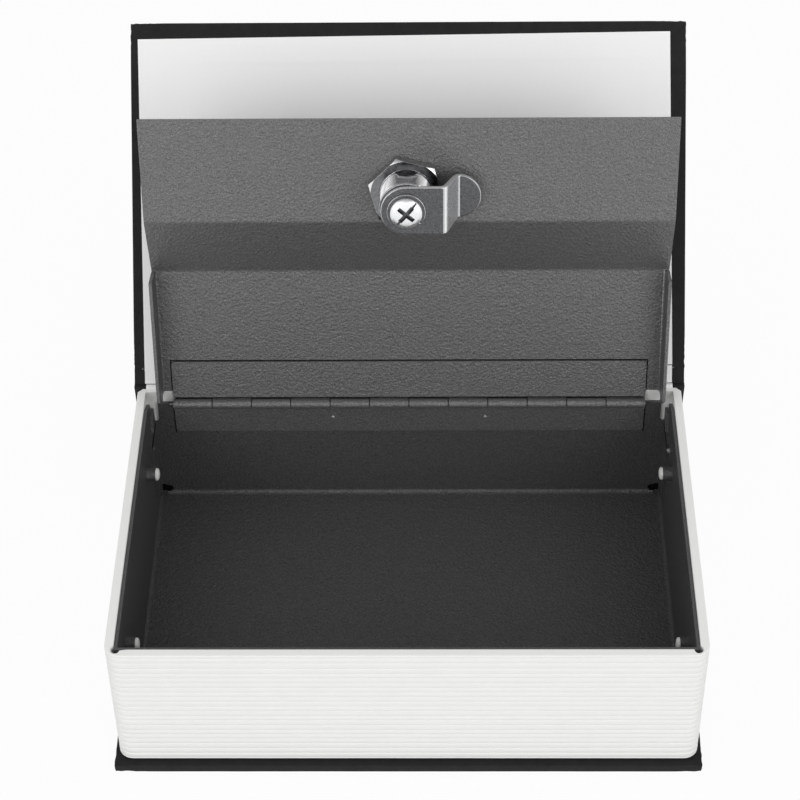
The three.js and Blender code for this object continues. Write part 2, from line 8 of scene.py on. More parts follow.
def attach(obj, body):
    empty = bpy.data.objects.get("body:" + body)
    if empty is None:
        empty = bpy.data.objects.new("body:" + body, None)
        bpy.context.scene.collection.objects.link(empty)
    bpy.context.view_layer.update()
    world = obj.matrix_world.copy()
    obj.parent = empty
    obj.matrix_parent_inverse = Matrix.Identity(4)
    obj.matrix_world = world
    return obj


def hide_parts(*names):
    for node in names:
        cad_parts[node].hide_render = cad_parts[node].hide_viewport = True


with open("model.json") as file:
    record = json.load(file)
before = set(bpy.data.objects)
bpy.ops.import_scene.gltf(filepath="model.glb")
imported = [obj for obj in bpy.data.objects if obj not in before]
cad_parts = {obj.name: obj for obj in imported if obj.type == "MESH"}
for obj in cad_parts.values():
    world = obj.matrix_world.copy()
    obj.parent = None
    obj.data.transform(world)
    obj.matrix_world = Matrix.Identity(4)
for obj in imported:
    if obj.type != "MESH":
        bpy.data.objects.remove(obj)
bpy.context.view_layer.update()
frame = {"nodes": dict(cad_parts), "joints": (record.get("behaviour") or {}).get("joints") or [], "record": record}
print("stage: frame loaded,", len(frame["nodes"]), "nodes")

mm = 0.001
upY, upZ = Vector((0, 1, 0)), Vector((0, 0, 1))
joints = {joint["name"]: joint for joint in frame["joints"]}


# The resting frames of the moving parts: modelled closed, then turned open about their hinge.
def restPlace(origin, hinge):
    return Matrix.Translation(Vector(joints[origin]["pos_m"])) @ Matrix.Rotation(
        -math.radians(joints[hinge]["range_deg"][1]), 4, "X")


lidPlace = restPlace("lid_hinge", "lid_hinge")
lockPlace = restPlace("plug_turn", "lid_hinge")
stripPlace = restPlace("spine_crease", "spine_crease")
coverPlace = restPlace("board_crease", "spine_crease")
stillPlace = Matrix()


# A node's lowest and highest corner in one of those frames, in millimetres.
def boxIn(name, place=stillPlace):
    back = place.inverted()
    points = [back @ vertex.co / mm for vertex in frame["nodes"][name].data.vertices]
    return [Vector([pick(point[axis] for point in points) for axis in range(3)]) for pick in (min, max)]


# Colours are written as sRGB hex and turned to linear here.
def toLinear(hexColour):
    channels = [int(hexColour[i:i + 2], 16) / 255 for i in (1, 3, 5)]
    return tuple(c / 12.92 if c <= 0.04045 else ((c + 0.055) / 1.055) ** 2.4 for c in channels) + (1,)


# Adds a node, sets its properties, and links or fills its inputs by name or number.
def addNode(tree, kind, inputs=None, **settings):
    node = tree.nodes.new(kind)
    for key, value in settings.items():
        setattr(node, key, value)
    for name, value in (inputs or {}).items():
        if isinstance(value, bpy.types.NodeSocket):
            tree.links.new(value, node.inputs[name])
        else:
            node.inputs[name].default_value = value
    return node


def newMaterial(name):
    material = bpy.data.materials.new(name)
    material.use_nodes = True
    tree = material.node_tree
    tree.nodes.clear()
    return material, tree, addNode(tree, "ShaderNodeTexCoord").outputs["Object"]


def showShader(tree, shader):
    addNode(tree, "ShaderNodeOutputMaterial", {"Surface": shader.outputs[0]})


# Shorthands for the nodes that the materials share. Each gives its output, sizes and depths are in
# millimetres, and a colour is a hex string or another node's output.
def maths(tree, operation, *values, clamp=False):
    return addNode(tree, "ShaderNodeMath", dict(enumerate(values)), operation=operation,
                   use_clamp=clamp).outputs[0]


def noiseOver(tree, place, sizeMm, detail, roughness=0.5):
    return addNode(tree, "ShaderNodeTexNoise", {"Vector": place, "Scale": 1 / (sizeMm * mm), "Detail": detail,
                                                "Roughness": roughness}).outputs["Fac"]


def cellsOver(tree, place, sizeMm, feature):
    return addNode(tree, "ShaderNodeTexVoronoi", {"Vector": place, "Scale": 1 / (sizeMm * mm)},
                   feature=feature).outputs["Distance"]


# Spreads the middle of a noise's values over a whole range.
def spread(tree, value, low=0, high=1):
    return addNode(tree, "ShaderNodeMapRange", {"Value": value, "From Min": 0.3, "From Max": 0.7,
                                                "To Min": low, "To Max": high}).outputs[0]


def blend(tree, share, first, second):
    first, second = (toLinear(colour) if isinstance(colour, str) else colour for colour in (first, second))
    return addNode(tree, "ShaderNodeMix", {0: share, 6: first, 7: second}, data_type="RGBA").outputs[2]


def bumped(tree, height, strength, depthMm):
    return addNode(tree, "ShaderNodeBump", {"Height": height, "Strength": strength,
                                            "Distance": depthMm * mm}).outputs[0]


# The face's value of painted light and shade, and of worn paint.
def paintedLightAndWearOn(tree):
    return addNode(tree, "ShaderNodeAttribute", attribute_name="paintedLightAndWear").outputs["Fac"]


def showSurface(tree, colour, roughness, bump, others=None):
    showShader(tree, addNode(tree, "ShaderNodeBsdfPrincipled", {
        "Base Color": colour, "Roughness": roughness, "Normal": bump, **(others or {})}))


# Hammer-finish enamel sprayed on sheet steel: a dark grey full of dimples under 1 mm across that
# glint where light grazes them, over a finer speckle of the pigment. Each face's value paints it:
# above 0 towards a pale grey, for paint worn thin on edges and for painted highlights; below 0
# towards near black, a painted shade in grooves, gaps and crevices and on shaded flats.
hammerLook = {
    "light": "#848484",
    "dark": "#525252",
    # Pale grey for paint worn thin and for painted highlights.
    "rubbedAndPaintedLight": "#B4B4B2",
    # Near black, the painted shade of grooves, gaps, crevices and shaded flats.
    "paintedShade": "#0C0C0C",
    "metallic": 0.5,
    "roughness": 0.4,
    "dimpleMm": 0.8,
    "speckleMm": 0.35,
    "depthMm": 0.2,
    "bump": 1.0,
}


def hammerEnamel():
    look = hammerLook
    material, tree, place = newMaterial("hammer enamel")
    dimple = cellsOver(tree, place, look["dimpleMm"], "SMOOTH_F1")
    speckle = noiseOver(tree, place, look["speckleMm"], 3, 0.6)
    bump = bumped(tree, maths(tree, "ADD", dimple, speckle), look["bump"], look["depthMm"])
    grey = blend(tree, spread(tree, speckle), look["dark"], look["light"])
    # Values above 0 pale the grey as worn paint and painted highlight, values below 0 darken it as painted shade.
    paintedLightAndWear = paintedLightAndWearOn(tree)
    rubbedAndPaintedLight = blend(tree, paintedLightAndWear, grey, look["rubbedAndPaintedLight"])
    tone = blend(tree, maths(tree, "MULTIPLY", paintedLightAndWear, -1, clamp=True), rubbedAndPaintedLight, look["paintedShade"])
    showSurface(tree, tone, look["roughness"], bump, {"Metallic": look["metallic"]})
    return material


# Imitation-leather book cloth: black coated paper, embossed with a fine pebble grain, slightly
# polished on its high spots and paler where it is creased.
leatherLook = {
    "black": "#1B1B1C",
    "worn": "#2D2D2E",
    "roughness": 0.6,
    "shine": 0.12,
    "grainMm": 0.55,
    "creaseMm": 3.5,
    "depthMm": 0.05,
    "bump": 0.5,
}


def bookCloth():
    look = leatherLook
    material, tree, place = newMaterial("imitation leather")
    rounded = maths(tree, "POWER", cellsOver(tree, place, look["grainMm"], "DISTANCE_TO_EDGE"), 0.5)
    crease = noiseOver(tree, place, look["creaseMm"], 5, 0.65)
    bump = bumped(tree, maths(tree, "ADD", rounded, crease), look["bump"], look["depthMm"])
    tone = blend(tree, crease, look["black"], look["worn"])
    showSurface(tree, tone, look["roughness"], bump, {"Specular IOR Level": look["shine"]})
    return material


# Uncoated endpaper and grey binder's board: matt pulp with short fibres in it.
def pulp(name, light, dark, fibreMm, depthMm):
    material, tree, place = newMaterial(name)
    drawn = addNode(tree, "ShaderNodeMapping", {"Vector": place, "Scale": (1, 0.35, 1)}).outputs[0]
    fibre = noiseOver(tree, drawn, fibreMm, 4, 0.6)
    showSurface(tree, blend(tree, fibre, dark, light), 0.92, bumped(tree, fibre, 0.3, depthMm))
    return material


# Injection-moulded styrene: smooth, half gloss, with the faint cloudiness of the mould's skin.
def mouldedStyrene(name, light, dark, roughness):
    material, tree, place = newMaterial(name)
    cloud, skin = noiseOver(tree, place, 6, 3), noiseOver(tree, place, 0.5, 2)
    showSurface(tree, blend(tree, cloud, dark, light), roughness, bumped(tree, skin, 0.15, 0.01))
    return material


# Plated metal: nickel on die-cast zinc, or duller zinc plate on pressed steel whose tumbled flats
# show as patches of rough and smooth. Each face's value paints a highlight: faces that turn away
# from the part's axis, its sides, bends and edges, go towards a near-white painted reflection.
def platedMetal(name, light, dark, paintedHighlight, roughLow, roughHigh, patchMm, depthMm, metallic=1):
    material, tree, place = newMaterial(name)
    patch = noiseOver(tree, place, patchMm, 4, 0.65)
    flat = blend(tree, spread(tree, patch), dark, light)
    # Painted highlight: values above 0 turn the colour towards the near-white one.
    tone = blend(tree, paintedLightAndWearOn(tree), flat, paintedHighlight)
    showSurface(tree, tone, spread(tree, patch, roughLow, roughHigh), bumped(tree, patch, 0.3, depthMm),
                {"Metallic": metallic})
    return material


looks = {
    "hammer_paint": hammerEnamel(),
    "book_cloth": bookCloth(),
    "binders_board": pulp("binders board", "#8F8678", "#7C7366", 0.5, 0.05),
    "endpaper": pulp("endpaper", "#FAFAFA", "#F5F5F5", 0.35, 0.012),
    "page_moulding": mouldedStyrene("moulded styrene", "#F0F0EE", "#EBEBE9", 0.5),
    "rivet_plastic": mouldedStyrene("rivet nylon", "#E9E9E6", "#DFDFDC", 0.38),
    # The third colour of each plated metal is its painted highlight.
    "plated_zinc": platedMetal("nickel plate", "#8A8B8C", "#6C6D6E", "#F2F2F3", 0.12, 0.24, 1.4, 0.012),
    "zinc_steel": platedMetal("zinc plate", "#707173", "#454648", "#F2F3F4", 0.22, 0.42, 0.5, 0.02,
                              0.85),
    "wafer_brass": platedMetal("rolled brass", "#CBA65E", "#B08B45", "#E0BE78", 0.25, 0.4, 0.8, 0.01),
}
slots = {part["node"]: part["material_slot"] for part in frame["record"]["subparts"]}
for name, node in frame["nodes"].items():
    node.data.materials.clear()
    node.data.materials.append(looks[slots[name]])
print("stage: materials made")


# Writes each face's value of painted light and shade, and of worn paint, from a rule on its middle,
# its normal and its narrowest width.
def setPaintedLightAndWear(mesh, rule):
    paintedLightAndWear = mesh.attributes.new("paintedLightAndWear", "FLOAT", "FACE")
    for face in mesh.polygons:
        lengths = [(mesh.vertices[a].co - mesh.vertices[b].co).length for a, b in face.edge_keys]
        paintedLightAndWear.data[face.index].value = rule(face.center, face.normal, face.area / max(max(lengths), 1e-6))
    return mesh


# Pressed and turned metal gets a painted highlight wherever it isn't flat across its own axis.
def paintedHighlightFor(normal, flatFrom=0.96, fade=0.1):
    return min(1, max(0, (flatFrom - abs(normal.z)) / fade))


# Painted highlights on a mesh's faces by how far each turns from the axis.
def withPaintedHighlights(mesh):
    return setPaintedLightAndWear(mesh, lambda middle, normal, width: paintedHighlightFor(normal))


# Turns a mesh in millimetres into a piece on its body, smooth but for edges sharper than an angle.
def addPiece(name, mesh, body, slot, place=stillPlace, sharp=35, outward=True, replaced=()):
    mesh.transform(place @ Matrix.Scale(mm, 4))
    shape = bmesh.new()
    shape.from_mesh(mesh)
    if outward:
        bmesh.ops.recalc_face_normals(shape, faces=shape.faces)
    for face in shape.faces:
        face.smooth = True
    for edge in shape.edges:
        edge.smooth = len(edge.link_faces) != 2 or edge.calc_face_angle(0) < math.radians(sharp)
    shape.to_mesh(mesh)
    shape.free()
    mesh.materials.clear()
    mesh.materials.append(looks[slot])
    piece = bpy.data.objects.new(name, mesh)
    bpy.context.collection.objects.link(piece)
    piece.modifiers.new("even shading", "WEIGHTED_NORMAL").keep_sharp = True
    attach(piece, body)
    if replaced:
        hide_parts(*replaced)
    return piece


def meshOf(name, points, faces):
    mesh = bpy.data.meshes.new(name)
    mesh.from_pydata([tuple(point) for point in points], [], faces)
    return mesh


def joined(name, *meshes):
    whole = bmesh.new()
    for mesh in meshes:
        whole.from_mesh(mesh)
    result = bpy.data.meshes.new(name)
    whole.to_mesh(result)
    whole.free()
    return result


# The plain mesh that an object comes to. The object itself goes.
def meshFrom(holder):
    bpy.context.collection.objects.link(holder)
    mesh = bpy.data.meshes.new_from_object(holder.evaluated_get(bpy.context.evaluated_depsgraph_get()))
    bpy.data.objects.remove(holder)
    return mesh


# The mesh with modifiers applied, each given as its kind and settings.
def shaped(mesh, *steps):
    holder = bpy.data.objects.new("holder", mesh)
    for kind, settings in steps:
        modifier = holder.modifiers.new(kind, kind)
        for key, value in settings.items():
            setattr(modifier, key, value)
    return meshFrom(holder)


def softEdges(width, segments=2, sharp=35):
    return "BEVEL", {"width": width, "segments": segments, "limit_method": "ANGLE",
                     "angle_limit": math.radians(sharp)}


# Rings of equal point count joined into one skin: capped at both ends, or closed on itself.
def skinOver(name, rings, loop=False):
    count = len(rings[0])
    points = [point for ring in rings for point in ring]
    faces = []
    for r in range(len(rings) if loop else len(rings) - 1):
        near, far = r * count, ((r + 1) % len(rings)) * count
        for i in range(count):
            j = (i + 1) % count
            faces.append((near + i, near + j, far + j, far + i))
    if not loop:
        faces.append(tuple(range(count))[::-1])
        faces.append(tuple(range((len(rings) - 1) * count, len(rings) * count)))
    return meshOf(name, points, faces)


# A solid of revolution about Z from (radius, height) pairs that start and end on the axis or meet.
def turned(name, profile, steps=64, loop=False):
    rings = [[Vector((radius * math.cos(2 * math.pi * i / steps), radius * math.sin(2 * math.pi * i / steps),
                      height)) for i in range(steps)] for radius, height in profile]
    return skinOver(name, rings, loop)


# The first mesh less the others.
def cutFrom(mesh, *cutters):
    for cutter in cutters:
        tool = bpy.data.objects.new("cutter", cutter)
        bpy.context.collection.objects.link(tool)
        mesh = shaped(mesh, ("BOOLEAN", {"operation": "DIFFERENCE", "solver": "EXACT", "object": tool}))
        bpy.data.objects.remove(tool)
    return mesh


def boxMesh(low, high):
    rings = [[Vector((x, y, z)) for x, y in ((low[0], low[1]), (high[0], low[1]), (high[0], high[1]),
                                             (low[0], high[1]))] for z in (low[2], high[2])]
    return skinOver("box", rings)


pressed = {"mergeMm": 0.002, "flatDegrees": 0.5, "slack": 0.01, "bendShare": 0.8}


# A CAD node's own shape, cleaned of loose triangles and given soft edges and grooves, each groove painted
# near black as shade, and dark sheets of painted shade joined in behind its holes. Its narrow bend and edge
# faces take one value and its flats another, which paint them paler above 0 (worn paint and painted
# highlight) and darker below 0 (painted shade).
def dressed(name, body, place, edge, grooves=(), rubbedAndPaintedLight=0, shadeFills=(), paintedFlatShade=0):
    mesh = frame["nodes"][name].data.copy()
    mesh.transform(Matrix.Scale(1 / mm, 4) @ place.inverted())
    shape = bmesh.new()
    shape.from_mesh(mesh)
    bmesh.ops.remove_doubles(shape, verts=shape.verts, dist=pressed["mergeMm"])
    bmesh.ops.dissolve_limit(shape, angle_limit=math.radians(pressed["flatDegrees"]), verts=shape.verts,
                             edges=shape.edges)
    shape.to_mesh(mesh)
    shape.free()
    mesh = cutFrom(shaped(mesh, softEdges(edge)), *[boxMesh(low, high) for low, high in grooves])
    # Dark sheets of painted shade, each with its own value.
    mesh = joined(name, mesh, *[boxMesh(low, high) for low, high, paintedLightAndWear in shadeFills])

    # Grooves get full painted shade, the sheets their own, narrow faces the edge value and the rest the flats'
    # value.
    def rule(middle, normal, width):
        slack = pressed["slack"]
        for low, high, paintedLightAndWear in [(low, high, -1) for low, high in grooves] + list(shadeFills):
            if all(low[a] - slack < middle[a] < high[a] + slack for a in range(3)):
                return paintedLightAndWear
        return rubbedAndPaintedLight if width < pressed["bendShare"] * edge else paintedFlatShade

    return addPiece(name + "_finished", setPaintedLightAndWear(mesh, rule), body, slots[name], place, 35, False, (name,))


# Lines across a length: four in the rounding at each end, close ones near it, wide ones between.
def gridLines(low, high, radius, step, reach, wide):
    edge = [0, 0.25 * radius, 0.6 * radius]
    near = [radius + (reach - radius) * i / round((reach - radius) / step)
            for i in range(round((reach - radius) / step))] if reach > radius else []
    count = max(1, round((high - low - 2 * reach) / wide))
    between = [low + reach + (high - low - 2 * reach) * i / count for i in range(count + 1)]
    return [low + d for d in edge + near] + between + [high - d for d in (edge + near)[::-1]]


# The skin of a box with rounded edges on given grid lines, without the cells that skip() picks.
def roundedSkin(name, xs, ys, zs, radius, skip, shift):
    low, high = Vector((xs[0], ys[0], zs[0])), Vector((xs[-1], ys[-1], zs[-1]))
    places, points, faces = {}, [], []

    def at(*key):
        if key not in places:
            point = Vector((xs[key[0]], ys[key[1]], zs[key[2]]))
            core = Vector([min(max(point[a], low[a] + radius), high[a] - radius) for a in range(3)])
            out = (point - core).normalized()
            places[key] = len(points)
            points.append(shift(core + out * radius, out))
        return places[key]

    ends = len(xs) - 1, len(ys) - 1, len(zs) - 1
    for axis in range(3):
        first, second = (axis + 1) % 3, (axis + 2) % 3
        for side in (0, ends[axis]):
            for i in range(ends[first]):
                for j in range(ends[second]):
                    corners = []
                    for di, dj in ((0, 0), (1, 0), (1, 1), (0, 1)):
                        key = [0, 0, 0]
                        key[axis], key[first], key[second] = side, i + di, j + dj
                        corners.append(tuple(key))
                    middle = Vector([sum((xs, ys, zs)[a][key[a]] for key in corners) / 4 for a in range(3)])
                    if skip(middle, axis, side > 0):
                        continue
                    face = [at(*key) for key in corners]
                    faces.append(face if side else face[::-1])
    return meshOf(name, points, faces)


# Cloth drawn round a board, turned in on one face and folded at the corners, where it puckers.
wrap = {
    "thick": 0.3,
    "round": 0.38,
    "glue": 0.45,
    "turnIn": 13,
    "puckerReach": 13,
    "puckerDepth": 0.36,
    "puckerMm": 1.7,
    "waverDepth": 0.05,
    "waverMm": 7,
    "mitreDepth": 0.16,
    "mitreWide": 0.8,
    "deepest": 0.36,
    "closeStep": 0.75,
    "wideStep": 3,
}


def wrappedBoard(name, low, high, openFace, openBack):
    radius, turn = wrap["round"], wrap["turnIn"]

    def shift(point, out):
        toSide = min(point.x - low.x, high.x - point.x)
        toEnd = min(point.y - low.y, high.y - point.y)
        near = max(0, 1 - Vector((toSide, toEnd)).length / wrap["puckerReach"]) ** 1.5
        pucker = noise.noise(point / wrap["puckerMm"]) + 0.5 * noise.noise(point / (wrap["puckerMm"] / 2.3))
        waver = 0.5 + 0.5 * noise.noise(point / wrap["waverMm"])
        depth = wrap["puckerDepth"] * near * min(1, max(0, 0.5 + pucker)) + wrap["waverDepth"] * waver
        if out.z * (1 if openFace else -1) > 0.9 and toSide < turn and abs(toSide - toEnd) < wrap["mitreWide"]:
            depth += wrap["mitreDepth"] * (1 - abs(toSide - toEnd) / wrap["mitreWide"])
        return point - out * min(depth, wrap["deepest"])

    def skip(middle, axis, upper):
        back = high.y if openBack else high.y - turn
        inside = low.x + turn < middle.x < high.x - turn and low.y + turn < middle.y < back
        return axis == 2 and upper == openFace and inside

    xs = gridLines(low.x, high.x, radius, wrap["closeStep"], turn, wrap["wideStep"])
    ys = gridLines(low.y, high.y, radius, wrap["closeStep"], turn, wrap["wideStep"])
    zs = gridLines(low.z, high.z, radius, wrap["closeStep"], radius, wrap["closeStep"])
    skin = roundedSkin(name, xs, ys, zs, radius, skip, shift)
    return shaped(skin, ("SOLIDIFY", {"thickness": wrap["thick"], "offset": -1}))


# A strip of the cloth along X from a (y, z) path, with rounded long edges.
def clothStrip(name, path, half, thick):
    left, right = [], []
    for i, point in enumerate(path):
        before, after = path[max(i - 1, 0)], path[min(i + 1, len(path) - 1)]
        along = (Vector(after) - Vector(before)).normalized()
        side = Vector((-along.y, along.x)) * thick / 2
        left.append(Vector(point) + side)
        right.append(Vector(point) - side)
    outline = left + right[::-1]
    rings = [[Vector((x, *point)) for point in outline] for x in (-half, -half / 3, half / 3, half)]
    return skinOver(name, rings)


# A path across a joint that bows out between its ends.
def bowedPath(start, end, height, bow, steps):
    path = []
    for i in range(steps + 1):
        t = i / steps
        path.append((start + (end - start) * t, height + bow * math.sin(math.pi * t)))
    return path


# The boards' cut edges are knocked round before the cloth goes on.
for name in ("bottom_board", "spine_board", "cover_board"):
    knocked = frame["nodes"][name].modifiers.new("knocked edges", "BEVEL")
    knocked.width = 0.4 * mm
    knocked.segments = 2
    knocked.limit_method = "ANGLE"
    knocked.angle_limit = math.radians(35)

boardLow, boardHigh = boxIn("bottom_board")
spineLow, spineHigh = boxIn("spine_board")
clothLow, clothHigh = boxIn("case_cloth")
spineSwell = clothHigh.y + clothLow.y
glue = Vector((wrap["glue"],) * 3)

jointGroove = {"depth": 1.7, "steps": 10, "lift": 0.15}


def caseCloth():
    bottom = wrappedBoard("bottom cloth", boardLow - glue, boardHigh + glue, True, False)
    low, high = spineLow - glue, spineHigh + glue
    foot, head = low.z, high.z
    back = high.y - spineSwell

    def shift(point, out):
        t = (point.z - foot) / (head - foot)
        waver = wrap["waverDepth"] * (0.5 + 0.5 * noise.noise(point / wrap["waverMm"]))
        return point - out * waver + upY * (4 * spineSwell * t * (1 - t))

    def skip(middle, axis, upper):
        inside = low.x + wrap["turnIn"] < middle.x < high.x - wrap["turnIn"]
        return axis == 1 and not upper and inside and foot + 2 < middle.z < head - 2

    xs = gridLines(low.x, high.x, wrap["round"], 1.5, wrap["turnIn"], wrap["wideStep"])
    ys = gridLines(low.y, back, wrap["round"], 1, wrap["round"], 1)
    zs = gridLines(foot, head, wrap["round"], 1, wrap["round"], 1.6)
    spine = shaped(roundedSkin("spine cloth", xs, ys, zs, wrap["round"], skip, shift),
                   ("SOLIDIFY", {"thickness": wrap["thick"], "offset": -1}))
    path = bowedPath(boardHigh.y - 0.5, back - 0.6, wrap["thick"] / 2 + jointGroove["lift"],
                     jointGroove["depth"], jointGroove["steps"])
    groove = clothStrip("joint cloth", path, clothHigh.x - 0.2, wrap["thick"])
    return addPiece("case_binding", joined("case binding", bottom, spine, groove), "case", "book_cloth",
                    outward=False, replaced=("case_cloth",))


def coverCloth():
    low, high = boxIn("cover_cloth", coverPlace)
    mesh = wrappedBoard("cover cloth", low, high, False, True)
    return addPiece("cover_binding", mesh, "cover", "book_cloth", coverPlace, outward=False,
                    replaced=("cover_cloth",))


# The bare strip between spine and cover, which runs on under the cover: a little way below the
# endpaper, and further beside it, under the turned-in corners. Its own paper is given by distances
# from the strip's front edge, then from the spine's crease, each with its drop below the cloth.
coverStrip = {
    "lift": 0.1,
    "sag": 0.3,
    "overlap": 0.7,
    "reach": 0.9,
    "steps": 10,
    "earReach": 1.4,
    "earBack": 0.3,
    "earRise": 0.05,
    "earHalf": 1.2,
    "paperThick": 0.12,
    "paperHalf": 86.1,
    "paperAside": -0.3,
    "paperFront": ((-1.6, 0.36), (-0.7, 0.3), (0, 0.2)),
    "paperRear": ((-1.5, 0.12), (0.25, 0.1)),
}


def coverJoint():
    low, high = boxIn("joint_cloth", stripPlace)
    lift = coverStrip["lift"]
    path = bowedPath(low.y - coverStrip["overlap"], high.y + coverStrip["reach"], lift, coverStrip["sag"],
                     coverStrip["steps"])
    meshes = [clothStrip("cover joint", path, high.x - 0.15, wrap["thick"])]
    earPath = [(low.y - coverStrip["earReach"], lift),
               (low.y + coverStrip["earBack"], lift + coverStrip["earRise"])]
    for side in (-1, 1):
        ear = clothStrip("joint ear", earPath, coverStrip["earHalf"], wrap["thick"])
        ear.transform(Matrix.Translation((side * (high.x - 0.2 - coverStrip["earHalf"]), 0, 0)))
        meshes.append(ear)
    addPiece("cover_joint_strip", joined("cover joint", *meshes), "cover_joint", "book_cloth", stripPlace,
             replaced=("joint_cloth",))
    under = (low.z + high.z) / 2 - wrap["thick"] / 2
    paperPath = [(low.y + y, under - drop) for y, drop in coverStrip["paperFront"]]
    paperPath += [(y, under - drop) for y, drop in coverStrip["paperRear"]]
    sheet = clothStrip("joint paper", paperPath, coverStrip["paperHalf"], coverStrip["paperThick"])
    sheet.transform(Matrix.Translation((coverStrip["paperAside"], 0, 0)))
    addPiece("joint_paper", sheet, "cover_joint", "endpaper", stripPlace)


# The endpaper's last strip, over the block's rear rim and the head of the spine.
rimPaper = {"thick": 0.1, "half": 86, "path": ((55.9, 52.46), (56.6, 52.48), (56.95, 52.96), (58.4, 52.98))}


def blockPaper():
    sheet = clothStrip("rim paper", rimPaper["path"], rimPaper["half"], rimPaper["thick"])
    addPiece("rim_paper", sheet, "case", "endpaper")


caseCloth()
coverCloth()
coverJoint()
blockPaper()
print("stage: binding made")


# Endpaper pasted over the turn-ins, whose inner edge shows through as a faint step.
paper = {"half": 86.15, "aside": -0.85, "margin": 4.3, "backGap": 0.4, "thick": 0.18, "step": 0.1,
         "stepWide": 2, "skew": -0.6, "ripple": 0.05, "rippleMm": 22}


def coverPaper():
    low, high = boxIn("cover_cloth", coverPlace)
    paperTop = boxIn("cover_paper", coverPlace)[1].z
    half = paper["half"]
    front, back = low.y + paper["margin"], high.y - paper["backGap"]
    turn = wrap["turnIn"]
    xs = gridLines(-half, half, 0, 0.4, turn - paper["margin"] + 2 * paper["stepWide"], 4)
    ys = gridLines(front, back, 0, 0.4, turn - paper["margin"] + 2 * paper["stepWide"], 4)
    xs, ys = sorted(set(xs)), sorted(set(ys))
    middle = (front + back) / 2
    skew = Matrix.Rotation(math.radians(paper["skew"]), 4, "Z")

    def heightAt(x, y):
        inside = min(x - low.x, high.x - x, y - low.y) - turn
        t = min(1, max(0, inside / paper["stepWide"] + 0.5))
        ripple = paper["ripple"] * noise.noise(Vector((x, y, 0)) / paper["rippleMm"])
        return paperTop - paper["thick"] + paper["step"] * t * t * (3 - 2 * t) + min(0, ripple)

    shift = Vector((paper["aside"], middle, 0))
    points = [skew @ Vector((x, y - middle, heightAt(x, y))) + shift for y in ys for x in xs]
    count = len(xs)
    faces = [(j * count + i, (j + 1) * count + i, (j + 1) * count + i + 1, j * count + i + 1)
             for j in range(len(ys) - 1) for i in range(count - 1)]
    mesh = shaped(meshOf("endpaper", points, faces), ("SOLIDIFY", {"thickness": paper["thick"], "offset": -1}))
    return addPiece("cover_endpaper", mesh, "cover", "endpaper", coverPlace, replaced=("cover_paper",))


coverPaper()
print("stage: endpaper laid")


# The moulded block: three sides of page edges with uneven fine lines, a plain rim, pockets in the
# front corners and a flange under the tray.
block = {
    "wall": 2.75,
    "backWall": 1.55,
    "corner": 4.5,
    "rear": 1.5,
    "lines": 22,
    "lineDepth": 0.16,
    "lineShallow": 0.7,
    "lineVary": 0.5,
    "lineWide": 0.34,
    "lineWander": 0.22,
    "wanderSeed": (1.7, 0.3),
    "depthSeed": (2.3, 4.1),
    "between": (0.28, 0.5, 0.72),
    "bulge": 0.1,
    "rimRound": 0.35,
    "rimBand": 1.4,
    "rimFoot": (0.4, 0.02),
    "foot": ((0, 0.6), (0.2, 0.22), (0.5, 0.04)),
    "footLip": 0.9,
    "pocketRadius": 1.5,
    "pocketInset": 0.8,
    "pocketDepth": 12,
    "floor": 1.9,
    "flange": 8,
    "flangeGap": 16,
    "ripple": 0.05,
    "rippleMm": 26,
    "layerShift": 1.9,
    "arcShare": 0.6,
    "rearCut": 0.5,
    "cornerSteps": 20,
    "sideSteps": 44,
    "smallSteps": 4,
}


# Points from one place towards another, without the last.
def stretch(a, b, count):
    return [Vector(a).lerp(Vector(b), i / count) for i in range(count)]


# Outline of the block set in by a distance, always with the same number of points.
def blockOutline(low, high, inset):
    back = block["rear"]
    points = []
    steps, side, few = block["cornerSteps"], block["sideSteps"], block["smallSteps"]
    x, front, rear = high.x - inset, low.y + inset, high.y - inset
    radius, arc = max(block["corner"] - inset, 0.05), block["arcShare"]

    def frontCorner(sign):
        turn = []
        for k in range(steps):
            t = k / steps
            if t < arc:
                angle = t / arc * math.pi / 2
                turn.append((sign * (x - radius + radius * math.cos(angle)),
                             front + radius - radius * math.sin(angle)))
            else:
                turn.append((sign * (x - radius - (t - arc) / (1 - arc) * radius), front))
        return turn

    right = frontCorner(1)
    left = [(-p[0], p[1]) for p in right]
    points += stretch((x, rear - back), (x, front + radius), side)
    points.extend(Vector(p) for p in right)
    points += stretch((x - 2 * radius, front), (2 * radius - x, front), side * 2)
    points.extend(Vector(p) for p in left[::-1])
    points += stretch((-x, front + radius), (-x, rear - back), side)
    points += stretch((-x, rear - back), (-x + back, rear), few)
    points += stretch((back - x, rear), (x - back, rear), side)
    points += stretch((x - back, rear), (x, rear - back), few)
    return points


# Outline of the opening for the tray, with the same number of points, with or without the pockets.
def innerOutline(low, high, wall, backWall, pocket):
    points = []
    steps, side, few = block["cornerSteps"], block["sideSteps"], block["smallSteps"]
    straight, cut = 1 - block["arcShare"], block["rearCut"]
    x, front, rear = high.x - wall, low.y + wall, high.y - backWall
    radius, inset = block["pocketRadius"], block["pocketInset"]
    rise, reach = math.sqrt(radius ** 2 - inset ** 2), radius + inset
    begin = math.atan2(rise, inset)

    def corner(sign):
        turn = []
        for k in range(steps):
            t = k / steps
            if pocket:
                angle = begin - (begin + math.pi) * t
                turn.append((sign * (x - inset + radius * math.cos(angle)), front + radius * math.sin(angle)))
            elif t < straight:
                turn.append((sign * x, front + rise * (1 - t / straight)))
            else:
                turn.append((sign * (x - reach * (t - straight) / (1 - straight)), front))
        return turn

    right = corner(1)
    left = [(-p[0], p[1]) for p in right]
    points += stretch((x, rear), (x, front + rise), side)
    points.extend(Vector(p) for p in right)
    points += stretch((x - reach, front), (reach - x, front), side * 2)
    points.extend(Vector(p) for p in left[::-1])
    points += stretch((-x, front + rise), (-x, rear), side)
    points += stretch((-x, rear), (-x + cut, rear), few)
    points += stretch((cut - x, rear), (x - cut, rear), side)
    points += stretch((x - cut, rear), (x, rear), few)
    return points


